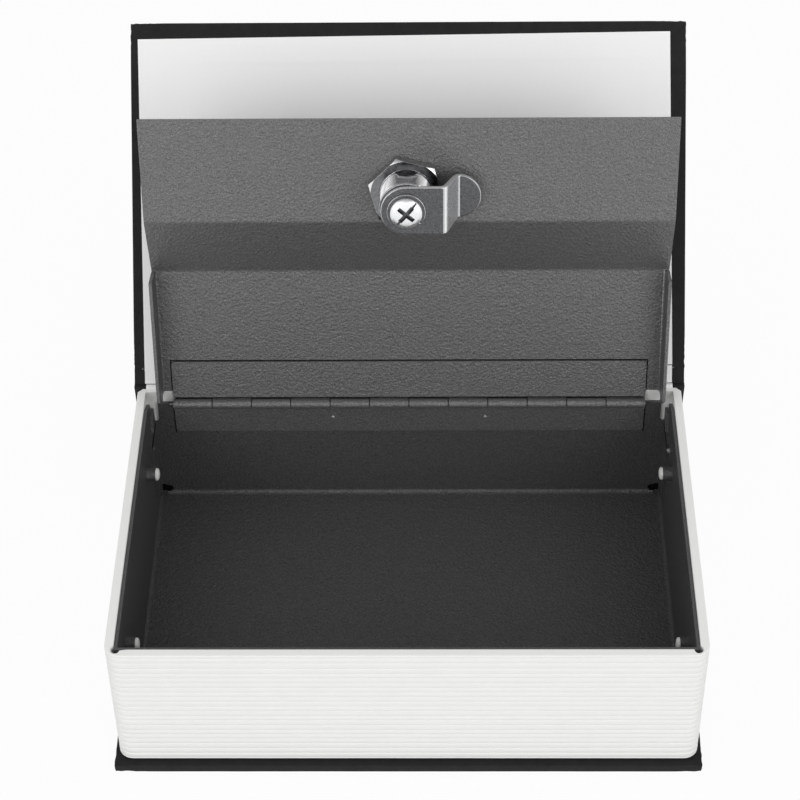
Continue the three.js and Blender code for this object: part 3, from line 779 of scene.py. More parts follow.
def pageBlock():
    low, high = boxIn("page_shell")
    height = high.z - low.z
    top = height - block["rimRound"]
    first, last = block["footLip"], height - block["rimBand"]
    pitch = (last - first) / (block["lines"] - 1)

    def seeded(i, seed):
        return noise.noise(Vector((i * seed[0], seed[1], 0)))

    def wander(i):
        atEnd = i in (0, block["lines"] - 1)
        return 0 if atEnd else block["lineWander"] * seeded(i, block["wanderSeed"])

    places = [first + pitch * (i + wander(i)) for i in range(block["lines"])]
    wide, bulge = block["lineWide"], block["bulge"]
    levels = list(block["foot"])
    for i, place in enumerate(places):
        vary = block["lineShallow"] + block["lineVary"] * seeded(i, block["depthSeed"])
        deep = block["lineDepth"] * vary
        levels += [(place - 0.5 * wide, bulge), (place, bulge + deep), (place + 0.5 * wide, bulge)]
        if i + 1 < len(places):
            step = places[i + 1] - place
            levels += [(place + step * t, bulge * (1 - math.sin(math.pi * t))) for t in block["between"]]
    levels += [(last + block["rimFoot"][0], block["rimFoot"][1]), (top, 0)]

    def ring(level, inset, extra=0):
        points = []
        for p in blockOutline(low, high, inset + extra):
            layer = round(level / pitch) * block["layerShift"]
            spot = Vector((p.x / block["rippleMm"], p.y / block["rippleMm"], layer))
            ripple = block["ripple"] * abs(noise.noise(spot))
            points.append(Vector((p.x, p.y, low.z + level)) - Vector((p.x / high.x, p.y / high.y, 0)) * ripple)
        return points

    rings = [ring(level, inset) for level, inset in levels]
    rim = block["rimRound"]
    for k in range(1, 5):
        angle = k / 4 * math.pi / 2
        rings.append(ring(top + rim * math.sin(angle), 0, rim * (1 - math.cos(angle))))
    wall, backWall = block["wall"], block["backWall"]

    def inner(z, extra, pocket):
        outline = innerOutline(low, high, wall - extra, backWall - extra, pocket)
        return [Vector((p.x, p.y, z)) for p in outline]

    for k in range(4):
        angle = k / 4 * math.pi / 2
        rings.append(inner(high.z - rim * (1 - math.cos(angle)), rim * (1 - math.sin(angle)), True))
    rings.append(inner(high.z - rim, 0, True))
    rings.append(inner(high.z - block["pocketDepth"], 0, True))
    rings.append(inner(high.z - block["pocketDepth"], 0, False))
    rings.append(inner(low.z + block["floor"], 0, False))

    def flange(z):
        outline = innerOutline(low, high, wall, backWall, False)
        x, front, rear = high.x - wall, low.y + wall, high.y - backWall
        points = []
        for p in outline:
            toSide, toEnd = x - abs(p.x), min(p.y - front, rear - p.y)
            moved = p.copy()
            if toEnd < 0.01 and toSide > block["flangeGap"]:
                moved.y += block["flange"] * (1 if p.y < 0 else -1)
            if toSide < 0.01 and toEnd > block["flangeGap"]:
                moved.x -= math.copysign(block["flange"], p.x)
            points.append(Vector((moved.x, moved.y, z)))
        return points

    rings.append(flange(low.z + block["floor"]))
    rings.append(flange(low.z))
    mesh = skinOver("page block", rings, True)
    return addPiece("page_block", mesh, "case", "page_moulding", replaced=("page_shell",))


pageBlock()
print("stage: page block moulded")


# Steel sheet work: the CAD shapes with the soft edges of sprayed sheet, and grooves cut round the
# hinge's two leaves, painted near black as a line of shade.
seams = {"leafHalf": 77, "wide": 0.4, "deep": 0.4, "lidReach": 15, "lidFace": 1.7, "trayTop": 48.3,
         "trayFoot": 34.9, "wallFace": 54}

# The tray's folded corners: a slit behind each tab, and the hole at the bend, cut a little wider; both
# painted near black as shade, with dark sheets of painted shade behind the hole.
folds = {
    "slit": ((83.45, 41.5, 38.3), (84.05, 53.6, 39.7)),
    "lens": [((80.4, 53, 7.6), (83.3, 54.35, 9.3)), ((80.9, 53, 7.1), (82.8, 54.35, 9.8))],
    "behind": [((81.8, 54.25, 7), (84.8, 54.9, 9.4), -1), ((81.6, 51.5, 5.45), (84.8, 54.9, 6.1), -0.3),
               ((84, 51.6, 6), (84.8, 54.9, 9.4), -0.3), ((81.8, 54.1, 6), (84.8, 54.9, 7.1), -0.3)],
}


def seamBoxes():
    half, wide, deep = seams["leafHalf"], seams["wide"], seams["deep"]
    reach, face = seams["lidReach"], seams["lidFace"]
    onLid = [((-half - wide, -reach - wide, face - 1), (half + wide, -reach, face + deep))]
    onTray = []
    for low, high in ((-half - wide, -half), (half, half + wide)):
        onLid.append(((low, -reach - wide / 2, face - 1), (high, 0, face + deep)))
        onTray.append(((low, seams["wallFace"] - 1, seams["trayFoot"]),
                       (high, seams["wallFace"] + deep, seams["trayTop"] + 1)))
    return onLid, onTray


# The boxes at the right and their mirror images at the left.
def bothSides(boxes):
    return [box for low, high, *paintedLightAndWear in boxes
            for box in ((low, high, *paintedLightAndWear), ((-high[0], *low[1:]), (-low[0], *high[1:]), *paintedLightAndWear))]


lidSeams, traySeams = seamBoxes()
# The tray's narrow bend and edge faces and its flats are painted darker than the lid's same enamel, as shade. The
# lid's narrow faces are painted paler, as worn paint and painted highlight.
dressed("steel_tray", "case", stillPlace, 0.22, traySeams + bothSides([folds["slit"], *folds["lens"]]), -0.3,
        bothSides(folds["behind"]), -0.28)
dressed("front_ledge", "case", stillPlace, 0.2)
dressed("steel_lid", "lid", lidPlace, 0.22, lidSeams, 0.7)
print("stage: sheet steel finished")


# A geometry-node tree with named inputs, and the plain mesh that it makes from points or a mesh.
def nodeTree(name, values):
    tree = bpy.data.node_groups.new(name, "GeometryNodeTree")
    tree.interface.new_socket("Geometry", in_out="OUTPUT", socket_type="NodeSocketGeometry")
    tree.interface.new_socket("Given", in_out="INPUT", socket_type="NodeSocketGeometry")
    kinds = {int: "NodeSocketInt", float: "NodeSocketFloat"}
    for label, value in values.items():
        tree.interface.new_socket(label, in_out="INPUT", socket_type=kinds[type(value)])
    return tree, addNode(tree, "NodeGroupInput").outputs


def grown(tree, values, mesh=None):
    holder = bpy.data.objects.new(tree.name, mesh or bpy.data.meshes.new(tree.name))
    modifier = holder.modifiers.new("shape", "NODES")
    modifier.node_group = tree
    for item in tree.interface.items_tree:
        if item.name in values:
            modifier[item.identifier] = values[item.name]
    return meshFrom(holder)


def endTree(tree, geometry, slot):
    real = addNode(tree, "GeometryNodeRealizeInstances", {"Geometry": geometry})
    coated = addNode(tree, "GeometryNodeSetMaterial", {"Geometry": real.outputs[0], "Material": looks[slot]})
    addNode(tree, "NodeGroupOutput", {"Geometry": coated.outputs[0]})


# Piano hinge: two leaves of thin sheet whose edges curl into alternate knuckles round one pin.
hinge = {
    "length": 154,
    "count": 12,
    "gap": 0.3,
    "radius": 1.6,
    "thick": 0.6,
    "curl": 298,
    "corner": 1.2,
    "soft": 0.1,
    "lidReach": 15,
    "trayReach": 13.5,
    "pinRadius": 0.8,
    "pinRound": 0.3,
    "notch": 1.72,
    "notchRound": 0.5,
    "endInset": 0.5,
    # A thin sheet of painted shade behind the notches.
    "shadeSheet": 0.06,
    "shadeSheetLift": 0.005,
    "shadeSheetEdge": 0.9,
    "creaseNear": 1.5,
    "creaseFar": 1.95,
    "creaseDeep": 0.15,
    "creaseSlack": 0.02,
    # How dark the groove and the faces round the notches are painted, as shade.
    "creaseShade": -0.9,
    "gapShade": -0.8,
}


def knuckleTree():
    values = {"Count": 6, "First": 0.0, "Spacing": 1.0, "Length": 1.0, "Radius": 1.0, "Thickness": 1.0,
              "Start": 0.0, "Curl": 1.0}
    tree, given = nodeTree("knuckle row", values)
    arc = addNode(tree, "GeometryNodeCurveArc", {"Resolution": 30, "Radius": given["Radius"],
                                                 "Start Angle": given["Start"], "Sweep Angle": given["Curl"]})
    section = addNode(tree, "GeometryNodeCurvePrimitiveQuadrilateral", {"Width": given["Thickness"],
                                                                        "Height": given["Length"]})
    soft = addNode(tree, "GeometryNodeFilletCurve", {"Curve": section.outputs[0], "Count": 2,
                                                     "Radius": hinge["soft"]}, mode="POLY")
    curl = addNode(tree, "GeometryNodeCurveToMesh", {"Curve": arc.outputs[0], "Profile Curve": soft.outputs[0],
                                                     "Fill Caps": True})
    upright = addNode(tree, "GeometryNodeTransform", {"Geometry": curl.outputs[0],
                                                      "Rotation": (math.pi / 2, 0, math.pi / 2)})
    start = addNode(tree, "ShaderNodeCombineXYZ", {"X": given["First"]})
    step = addNode(tree, "ShaderNodeCombineXYZ", {"X": given["Spacing"]})
    row = addNode(tree, "GeometryNodeMeshLine", {"Count": given["Count"], "Start Location": start.outputs[0],
                                                 "Offset": step.outputs[0]})
    placed = addNode(tree, "GeometryNodeInstanceOnPoints", {"Points": row.outputs[0],
                                                            "Instance": upright.outputs[0]})
    endTree(tree, placed.outputs[0], "hammer_paint")
    return tree


# A flat plate from a plan outline, with soft edges.
def plate(name, outline, low, high, soft):
    rings = [[Vector((x, y, z)) for x, y in outline] for z in (low, high)]
    return shaped(skinOver(name, rings), softEdges(soft))


def arcPoints(centre, radius, start, end, steps):
    return [(centre[0] + radius * math.cos(math.radians(start + (end - start) * i / steps)),
             centre[1] + radius * math.sin(math.radians(start + (end - start) * i / steps)))
            for i in range(steps + 1)]


# One leaf in the hinge's own frame: pin along X, plate towards -Y on top of its knuckles, with
# round-cornered notches for the other leaf's. A thin sheet of painted shade closes the notches from behind,
# and a shallow groove across the plate above its own knuckles is painted as a line of shade.
def leafMesh(tree, reach):
    half, pitch = hinge["length"] / 2, hinge["length"] / hinge["count"]
    gap, radius, thick, corner = hinge["gap"], hinge["radius"], hinge["thick"], hinge["corner"]
    notch, turn = hinge["notch"], hinge["notchRound"]
    outline = arcPoints((corner - half, corner - reach), corner, 180, 270, 6)
    outline += arcPoints((half - corner, corner - reach), corner, 270, 360, 6)
    outline.append((half, 0))
    for i in range(hinge["count"] - 1, 0, -2):
        low, high = i * pitch - half + gap / 2, (i + 1) * pitch - half - gap / 2
        if i < hinge["count"] - 1:
            outline += arcPoints((high + turn, turn - notch), turn, 270, 180, 4) + [(high, 0)]
        outline.append((low, 0))
        outline += arcPoints((low - turn, turn - notch), turn, 360, 270, 4)
    outline.append((-half, -notch))
    row = grown(tree, {"Count": hinge["count"] // 2, "First": 1.5 * pitch - half, "Spacing": 2 * pitch,
                       "Length": pitch - gap, "Radius": radius - thick / 2, "Thickness": thick,
                       "Start": math.pi / 2, "Curl": -math.radians(hinge["curl"])})
    inset, behind, slack = hinge["endInset"], radius + hinge["shadeSheetLift"], hinge["creaseSlack"]
    # The dark sheet behind the notches, painted as shade.
    shadeSheet = boxMesh((inset - half, -notch - 1, behind),
                      (half - inset, -hinge["shadeSheetEdge"], behind + hinge["shadeSheet"]))
    crease = boxMesh((inset - half, -hinge["creaseFar"], -radius),
                     (half - inset, -hinge["creaseNear"], radius - thick + hinge["creaseDeep"]))
    flat = plate("plate", outline, radius - thick, radius, hinge["soft"])
    leaf = joined("leaf", cutFrom(flat, crease), row, shadeSheet)

    # Painted shade in the groove, and on the sheet's bare face and the notches' edges.
    def rule(middle, normal, width):
        crossed = hinge["creaseNear"] - slack < -middle.y < hinge["creaseFar"] + slack
        if crossed and radius - thick < middle.z < radius - 0.05:
            return hinge["creaseShade"]
        bare = middle.z > radius - 0.002 or (middle.z > radius - thick and abs(middle.y + notch) < 0.12)
        near = -notch - 0.2 < middle.y < 0.3 - hinge["shadeSheetEdge"]
        return hinge["gapShade"] if bare and near else 0

    return setPaintedLightAndWear(leaf, rule)


def pianoHinge():
    tree = knuckleTree()
    addPiece("hinge_leaf_lid", leafMesh(tree, hinge["lidReach"]), "lid", "hammer_paint", lidPlace,
             replaced=("lid_leaf",))
    addPiece("hinge_leaf_tray", leafMesh(tree, hinge["trayReach"]), "case", "hammer_paint", trayLeafPlace,
             replaced=("tray_leaf",))
    low, high = boxIn("hinge_pin")
    radius, length, turn = hinge["pinRadius"], high.x - low.x, hinge["pinRound"]
    profile = [(0, 0)] + arcPoints((radius - turn, turn), turn, -90, 0, 3)
    profile += arcPoints((radius - turn, length - turn), turn, 0, 90, 3) + [(0, length)]
    place = Matrix.Translation(Vector((low.x, (low.y + high.y) / 2, (low.z + high.z) / 2)) * mm)
    addPiece("hinge_rod", turned("pin", profile, 24), "case", "zinc_steel",
             place @ Matrix.Rotation(math.pi / 2, 4, "Y"), replaced=("hinge_pin",))


# The tray's leaf hangs down the back wall, behind the knuckles, turned end for end.
trayLeafPlace = Matrix.Translation(Vector(joints["lid_hinge"]["pos_m"])) @ Matrix.Rotation(
    math.pi, 4, "Y") @ Matrix.Rotation(-math.pi / 2, 4, "X")
pianoHinge()
print("stage: hinge made")


# Push rivets: domed heads on the tray's collars, shanks through both walls.
rivet = {"radius": 2.05, "dome": 0.8, "rim": 0.45, "shank": 1.5, "seat": 0.5, "tip": 0.6, "tipIn": 0.5,
         "steps": 32}


# The given rivet, stood on Z, set at the corners of an upright grid and turned to its own wall.
def rivetTree():
    tree, given = nodeTree("rivet grid", {"Across": 1.0, "Along": 1.0, "Middle": 0.0, "Height": 0.0})
    grid = addNode(tree, "GeometryNodeMeshGrid", {"Size X": given["Across"], "Size Y": given["Along"],
                                                  "Vertices X": 2, "Vertices Y": 2})
    shift = addNode(tree, "ShaderNodeCombineXYZ", {"Y": given["Middle"], "Z": given["Height"]})
    corners = addNode(tree, "GeometryNodeSetPosition", {"Geometry": grid.outputs[0],
                                                        "Offset": shift.outputs[0]})
    place = addNode(tree, "GeometryNodeInputPosition")
    side = addNode(tree, "ShaderNodeSeparateXYZ", {"Vector": place.outputs[0]})
    quarter = maths(tree, "MULTIPLY", maths(tree, "SIGN", side.outputs[0]), math.pi / 2)
    turn = addNode(tree, "ShaderNodeCombineXYZ", {"Y": quarter})
    placed = addNode(tree, "GeometryNodeInstanceOnPoints", {
        "Points": corners.outputs[0], "Instance": given["Given"], "Rotation": turn.outputs[0]})
    endTree(tree, placed.outputs[0], "rivet_plastic")
    return tree


def trayRivets():
    names = ["tray_rivet_" + end for end in ("front_left", "back_left", "front_right", "back_right")]
    frontLow, frontHigh = boxIn("tray_rivet_front_right")
    backLow, backHigh = boxIn("tray_rivet_back_right")
    length = frontHigh.x - frontLow.x
    radius, rim, dome, shank = rivet["radius"], rivet["rim"], rivet["dome"], rivet["shank"]
    seat, tipIn = rivet["seat"], rivet["tipIn"]
    profile = [(0, seat - rim - dome)]
    for i in range(1, 7):
        angle = i / 6 * math.pi / 2
        profile.append((radius * math.sin(angle), seat - rim - dome * math.cos(angle)))
    profile += [(radius, seat), (shank, seat), (shank, length - rivet["tip"]), (shank - tipIn, length),
                (0, length)]
    one = turned("rivet", profile, rivet["steps"])
    front, back = (frontLow.y + frontHigh.y) / 2, (backLow.y + backHigh.y) / 2
    four = grown(rivetTree(), {"Across": 2 * frontLow.x, "Along": back - front, "Middle": (front + back) / 2,
                               "Height": (frontLow.z + frontHigh.z) / 2}, one)
    addPiece("tray_rivets", four, "case", "rivet_plastic", replaced=names)


# Spot welds: low domes under the paint on the tray's leaf and on its corner tabs, whose middles lie
# behind the surface. Each is painted paler, as a highlight.
weld = {
    "radius": 0.8,
    "spots": ((-25, 53.85, 42.5), (25, 53.85, 42.5), (-84.4, 45.1, 36.2), (84.4, 39.6, 40.3)),
    # How much each weld is painted paler, as a highlight.
    "rubbedAndPaintedLight": 0.7,
}


def weldTree():
    tree, given = nodeTree("spot welds", {"Radius": 1.0})
    dome = addNode(tree, "GeometryNodeMeshUVSphere", {"Segments": 20, "Rings": 10, "Radius": given["Radius"]})
    placed = addNode(tree, "GeometryNodeInstanceOnPoints", {"Points": given["Given"],
                                                            "Instance": dome.outputs[0]})
    endTree(tree, placed.outputs[0], "hammer_paint")
    return tree


def spotWelds():
    spots = grown(weldTree(), {"Radius": weld["radius"]}, meshOf("weld spots", weld["spots"], []))
    # Painted highlight on every weld.
    addPiece("spot_welds", setPaintedLightAndWear(spots, lambda middle, normal, width: weld["rubbedAndPaintedLight"]), "case",
             "hammer_paint")


trayRivets()
spotWelds()
print("stage: rivets and welds set")


# The lock stands on its own axis: z is 0 at the lid's inner face and the cam lies below.
barrel = {
    "radius": 8,
    "flats": 14,
    "bore": 6.15,
    "foot": -12.2,
    "face": 1.1,
    "top": 3.3,
    "faceRadius": 9.5,
    "faceFoot": ((0, 1.1), (0.15, 1.4)),
    "faceEdge": ((0.9, 0.15), (1.2, 0)),
    "lip": 0.1,
    "chamfer": 0.7,
    "threadPitch": 1,
    "threadDepth": 0.5,
    "steps": 120,
    "levelsPerTurn": 8,
}


def lockBarrel():
    steps, pitch, depth = barrel["steps"], barrel["threadPitch"], barrel["threadDepth"]
    foot, face, top = barrel["foot"], barrel["face"], barrel["top"]
    rings = []

    def doubleD(z, radiusAt):
        points = []
        for i in range(steps):
            angle = 2 * math.pi * i / steps
            flat = barrel["flats"] / 2 / max(abs(math.sin(angle)), 0.001)
            radius = min(radiusAt(angle), flat)
            points.append(Vector((radius * math.cos(angle), radius * math.sin(angle), z)))
        return points

    levels = round((face - foot) / pitch * barrel["levelsPerTurn"])
    for k in range(levels + 1):
        z = foot + (face - foot) * k / levels
        chamfer = max(0, foot + barrel["chamfer"] - z)

        def threadAt(angle):
            phase = ((z - foot) / pitch - angle / (2 * math.pi)) % 1
            return barrel["radius"] - depth * (1 - abs(2 * phase - 1)) - chamfer

        rings.append(doubleD(z, threadAt))
    circle = [(math.cos(2 * math.pi * i / steps), math.sin(2 * math.pi * i / steps)) for i in range(steps)]
    wide, bore, lip = barrel["faceRadius"], barrel["bore"], barrel["lip"]
    profile = [(wide, face)] + [(wide - inset, face + up) for inset, up in barrel["faceFoot"]]
    profile += [(wide - inset, top - down) for inset, down in barrel["faceEdge"]]
    for radius, z in profile + [(bore + lip, top), (bore, top - lip), (bore, foot)]:
        rings.append([Vector((radius * x, radius * y, z)) for x, y in circle])
    # Painted highlight on the barrel's sides and the rim of its face.
    addPiece("lock_barrel", withPaintedHighlights(skinOver("barrel", rings, True)), "lid", "plated_zinc", lockPlace, 30,
             replaced=("lock_housing",))


# Its chamfered corners carry a painted highlight, and its sides a fainter painted highlight.
nut = {"across": 21, "bore": 8.05, "top": -0.1, "foot": -3.5, "turn": 15, "steps": 120, "soft": 0.25,
       "chamferIn": 0.5, "coneStep": 0.1, "coneSteps": 11, "lead": 0.4, "sides": 0.4, "sideBelow": 0.3}


def lockNut():
    def ring(z, radiusAt):
        points = []
        for i in range(nut["steps"]):
            degrees = 360 * i / nut["steps"]
            angle, radius = math.radians(degrees + nut["turn"]), radiusAt(degrees)
            points.append(Vector((radius * math.cos(angle), radius * math.sin(angle), z)))
        return points

    foot, top, bore, half = nut["foot"], nut["top"], nut["bore"], nut["across"] / 2
    rings = []
    for z in [foot + nut["coneStep"] * i for i in range(nut["coneSteps"])] + [top]:
        cone = half + nut["chamferIn"] + (z - foot) * math.sqrt(3)
        rings.append(ring(z, lambda degrees: min(cone, half / math.cos(math.radians(degrees % 60 - 30)))))
    lead = nut["lead"]
    for radius, z in ((bore + lead, top), (bore, top - lead), (bore, foot + lead), (bore + lead, foot)):
        rings.append(ring(z, lambda degrees: radius))
    mesh = shaped(skinOver("nut", rings, True), softEdges(nut["soft"], 2, 25))

    # Painted highlight: the sides a fixed share of it, the rest by how far each face turns from the axis.
    def rule(middle, normal, width):
        return nut["sides"] if abs(normal.z) < nut["sideBelow"] else paintedHighlightFor(normal)

    addPiece("lock_hex_nut", setPaintedLightAndWear(mesh, rule), "lid", "plated_zinc", lockPlace, 25, replaced=("lock_nut",))


# Stamped from sheet: a plan of closed outlines, extruded with rounded edges about z = 0.
def stamped(name, outlines, thick, soft):
    curve = bpy.data.curves.new(name, "CURVE")
    curve.dimensions = "2D"
    curve.fill_mode = "BOTH"
    curve.extrude = thick / 2 - soft
    curve.bevel_depth = soft
    curve.bevel_resolution = 2
    curve.offset = -soft
    for outline in outlines:
        spline = curve.splines.new("POLY")
        spline.points.add(len(outline) - 1)
        for point, (x, y) in zip(spline.points, outline):
            point.co = (x, y, 0, 1)
        spline.use_cyclic_u = True
    mesh = meshFrom(bpy.data.objects.new(name, curve))
    shape = bmesh.new()
    shape.from_mesh(mesh)
    bmesh.ops.remove_doubles(shape, verts=shape.verts, dist=0.001)
    shape.to_mesh(mesh)
    shape.free()
    return mesh


def squareOutline(half):
    return [(half, half), (-half, half), (-half, -half), (half, -half)]


stop = {"radius": 8.2, "tab": 9.4, "tabHalf": 2.4, "thick": 1.2, "middle": -13, "tailHalf": 3.4, "soft": 0.2}


def stopWasher():
    radius, half = stop["radius"], stop["tabHalf"]
    edge = math.degrees(math.asin(half / radius))
    outline = arcPoints((0, 0), radius, edge, 360 - edge, 80) + [(stop["tab"], -half), (stop["tab"], half)]
    mesh = stamped("stop washer", [outline, squareOutline(stop["tailHalf"])], stop["thick"], stop["soft"])
    mesh.transform(Matrix.Translation((0, 0, stop["middle"])))
    # Painted highlight on the washer's edges.
    addPiece("stop_plate", withPaintedHighlights(mesh), "lock_core", "zinc_steel", lockPlace, 30, replaced=("stop_washer",))


# Cranked cam, stamped flat and bent: the arm steps back up to the lid and ends in a half disc.
cam = {"half": 7.75, "arm": 11.5, "slant": 3.8, "crank": 10.8, "tip": 7, "reach": 22.7, "thick": 1.6,
       "foot": -15.3, "bend": 2, "tailHalf": 3.4, "soft": 0.42, "spare": 1, "cuts": 48, "cutsFrom": 3,
       "cutsOver": 5}


# Points, distances and directions along a (x, z) path whose corners are rounded.
def bentPath(corners, radius, steps=8):
    points = [Vector(corners[0])]
    for before, here, after in zip(corners, corners[1:], corners[2:]):
        before, here, after = Vector(before), Vector(here), Vector(after)
        into, out = (here - before).normalized(), (after - here).normalized()
        turn = into.angle(out)
        cut = radius * math.tan(turn / 2)
        first, last = here - into * cut, here + out * cut
        for i in range(steps + 1):
            t = i / steps
            points.append(first.lerp(here, t).lerp(here.lerp(last, t), t))
    points.append(Vector(corners[-1]))
    return points


def lockCam():
    middle, spare = cam["foot"] + cam["thick"] / 2, cam["spare"]
    path = bentPath([(-cam["half"] - spare, middle), (cam["arm"], middle),
                     (cam["arm"] + cam["slant"], middle + cam["crank"]),
                     (cam["reach"] + spare, middle + cam["crank"])], cam["bend"])
    lengths = [0]
    for a, b in zip(path, path[1:]):
        lengths.append(lengths[-1] + (b - a).length)
    origin = cam["half"] + spare
    extra = lengths[-1] - (cam["reach"] + spare + origin)
    tipCentre = cam["reach"] - cam["tip"] + extra
    outline = arcPoints((0, 0), cam["half"], 90, 270, 32) + [(cam["arm"], -cam["half"])]
    outline += arcPoints((tipCentre, 0), cam["tip"], -90, 90, 32) + [(cam["arm"], cam["half"])]
    mesh = stamped("cam", [outline, squareOutline(cam["tailHalf"])], cam["thick"], cam["soft"])
    shape = bmesh.new()
    shape.from_mesh(mesh)
    for i in range(cam["cuts"]):
        s = cam["arm"] - cam["cutsFrom"] + (tipCentre - cam["arm"] + cam["cutsOver"]) * i / cam["cuts"]
        bmesh.ops.bisect_plane(shape, geom=shape.verts[:] + shape.edges[:] + shape.faces[:], dist=0.0001,
                               plane_co=(s, 0, 0), plane_no=(1, 0, 0))
    for vertex in shape.verts:
        s = vertex.co.x + origin
        k = min(max(next((i for i, length in enumerate(lengths) if length > s), len(path) - 1), 1),
                len(path) - 1)
        t = (s - lengths[k - 1]) / (lengths[k] - lengths[k - 1])
        spot = path[k - 1].lerp(path[k], t)
        before = (path[k] - path[k - 1]).normalized()
        after = (path[min(k + 1, len(path) - 1)] - path[min(k, len(path) - 2)]).normalized()
        prior = (path[max(k - 1, 1)] - path[max(k - 2, 0)]).normalized()
        along = ((prior + before).lerp(before + after, t)).normalized()
        up = Vector((-along.y, along.x))
        place = spot + up * vertex.co.z
        vertex.co = (place.x, vertex.co.y, place.y)
    shape.to_mesh(mesh)
    shape.free()
    # Painted highlight on the cam's bends and edges.
    addPiece("lock_cam_plate", withPaintedHighlights(mesh), "lock_core", "zinc_steel", lockPlace, 40,
             replaced=("lock_cam",))


washer = {"radius": 5.8, "hole": 2.1, "slit": 0.9, "thick": 0.8, "middle": -15.8, "soft": 0.2, "turn": 35}


def splitWasher():
    outer = math.degrees(math.asin(washer["slit"] / 2 / washer["radius"]))
    inner = math.degrees(math.asin(washer["slit"] / 2 / washer["hole"]))
    outline = arcPoints((0, 0), washer["radius"], outer, 360 - outer, 64)
    outline += arcPoints((0, 0), washer["hole"], 360 - inner, inner, 40)
    mesh = stamped("split washer", [outline], washer["thick"], washer["soft"])
    mesh.transform(Matrix.Translation((0, 0, washer["middle"])) @ Matrix.Rotation(
        math.radians(washer["turn"]), 4, "Z"))
    # Painted highlight on the washer's edges.
    addPiece("cam_washer", withPaintedHighlights(mesh), "lock_core", "zinc_steel", lockPlace, 30,
             replaced=("spring_washer",))


# A straight-sided block about Z that narrows towards its top, for cutting.
def taperedBlock(halfX, halfY, low, high, draft=0, turn=0):
    rings = []
    for z, less in ((low, 0), (high, draft)):
        rings.append([Vector((sx * (halfX - less), sy * (halfY - less), z))
                      for sx, sy in ((1, 1), (-1, 1), (-1, -1), (1, -1))])
    mesh = skinOver("block", rings)
    mesh.transform(Matrix.Rotation(math.radians(turn), 4, "Z"))
    return mesh


# Pan head with a cross recess and one thin slot through it. The head carries a painted highlight
# all over but in the recess and slot, which keep the plain darker colour, as shade.
screw = {"head": 4.9, "seat": -16.3, "headThick": 1.7, "shank": 1.9, "length": 6.8, "crossHalf": 3.1,
         "crossWide": 0.75, "crossDeep": 1.4, "crossDraft": 0.3, "slotHalf": 5, "slotWide": 0.4,
         "slotDeep": 0.8, "slotDraft": 0.05, "turn": 40, "tip": 0.5, "soft": 0.06, "darkIn": 0.9,
         "darkFrom": 0.65, "rimIn": 0.1,
         # in from the head's rim, up from its face
         "face": ((2.8, 0.08), (1.4, 0.28), (0.6, 0.55), (0.12, 0.95), (0, 1.3))}


def camScrew():
    head, seat, shank, tip = screw["head"], screw["seat"], screw["shank"], screw["tip"]
    foot, end = seat - screw["headThick"], seat + screw["length"]
    profile = [(0, foot)] + [(head - inset, foot + up) for inset, up in screw["face"]]
    profile += [(head - screw["rimIn"], seat), (shank, seat), (shank, end - tip), (shank - tip, end), (0, end)]
    mesh = turned("screw", profile, 72)
    low = foot - 0.5
    cross = [taperedBlock(screw["crossHalf"], screw["crossWide"], low, foot + screw["crossDeep"],
                          screw["crossDraft"], screw["turn"] + quarter) for quarter in (0, 90)]
    slotCut = taperedBlock(screw["slotHalf"], screw["slotWide"], low, foot + screw["slotDeep"],
                           screw["slotDraft"], screw["turn"] + 90)
    mesh = shaped(cutFrom(mesh, *cross, slotCut), softEdges(screw["soft"]))

    # Painted highlight on the head, painted shade in the recess and slot.
    def rule(middle, normal, width):
        recess = math.hypot(middle.x, middle.y) < head - screw["darkIn"] and middle.z < seat
        return -1 if recess and (abs(normal.z) < 0.5 or middle.z > foot + screw["darkFrom"]) else 1

    addPiece("cam_screw_head", setPaintedLightAndWear(mesh, rule), "lock_core", "zinc_steel", lockPlace, 30,
             replaced=("cam_screw",))


plug = {"radius": 6, "foot": -12.3, "top": 3.3, "chamfer": 0.3, "soft": 0.08, "tailHalf": 3.3,
        "tailFoot": -15.3, "tailIn": 0.5, "tailSoft": 0.3, "keyHalf": 0.8, "keyReach": 4, "keyDeep": 12}


def lockPlug():
    radius, foot, top, chamfer = plug["radius"], plug["foot"], plug["top"], plug["chamfer"]
    profile = [(0, foot), (radius, foot), (radius, top - chamfer), (radius - chamfer, top), (0, top)]
    keyway = taperedBlock(plug["keyHalf"], plug["keyReach"], top - plug["keyDeep"], top + 1)
    core = shaped(cutFrom(turned("plug", profile, 96), keyway), softEdges(plug["soft"]))
    tail = taperedBlock(plug["tailHalf"], plug["tailHalf"], plug["tailFoot"], foot + plug["tailIn"])
    mesh = joined("plug", core, shaped(tail, softEdges(plug["tailSoft"])))
    # Painted highlight on the plug's sides and edges.
    addPiece("lock_plug_turned", withPaintedHighlights(mesh), "lock_core", "plated_zinc", lockPlace, 30, outward=False,
             replaced=("lock_plug",))


lockBarrel()
lockNut()
stopWasher()
lockCam()
splitWasher()
camScrew()
lockPlug()
print("stage: lock made")


# Camera at the photograph's angle, from the place where the book's edges meet their picture.
camera = {
    "placeMm": (8.62, -488.07, 570.69),
    "pitchDown": 43.87,
    "yaw": -1.22,
    "roll": -0.98,
    "lensMm": 103.55,
}


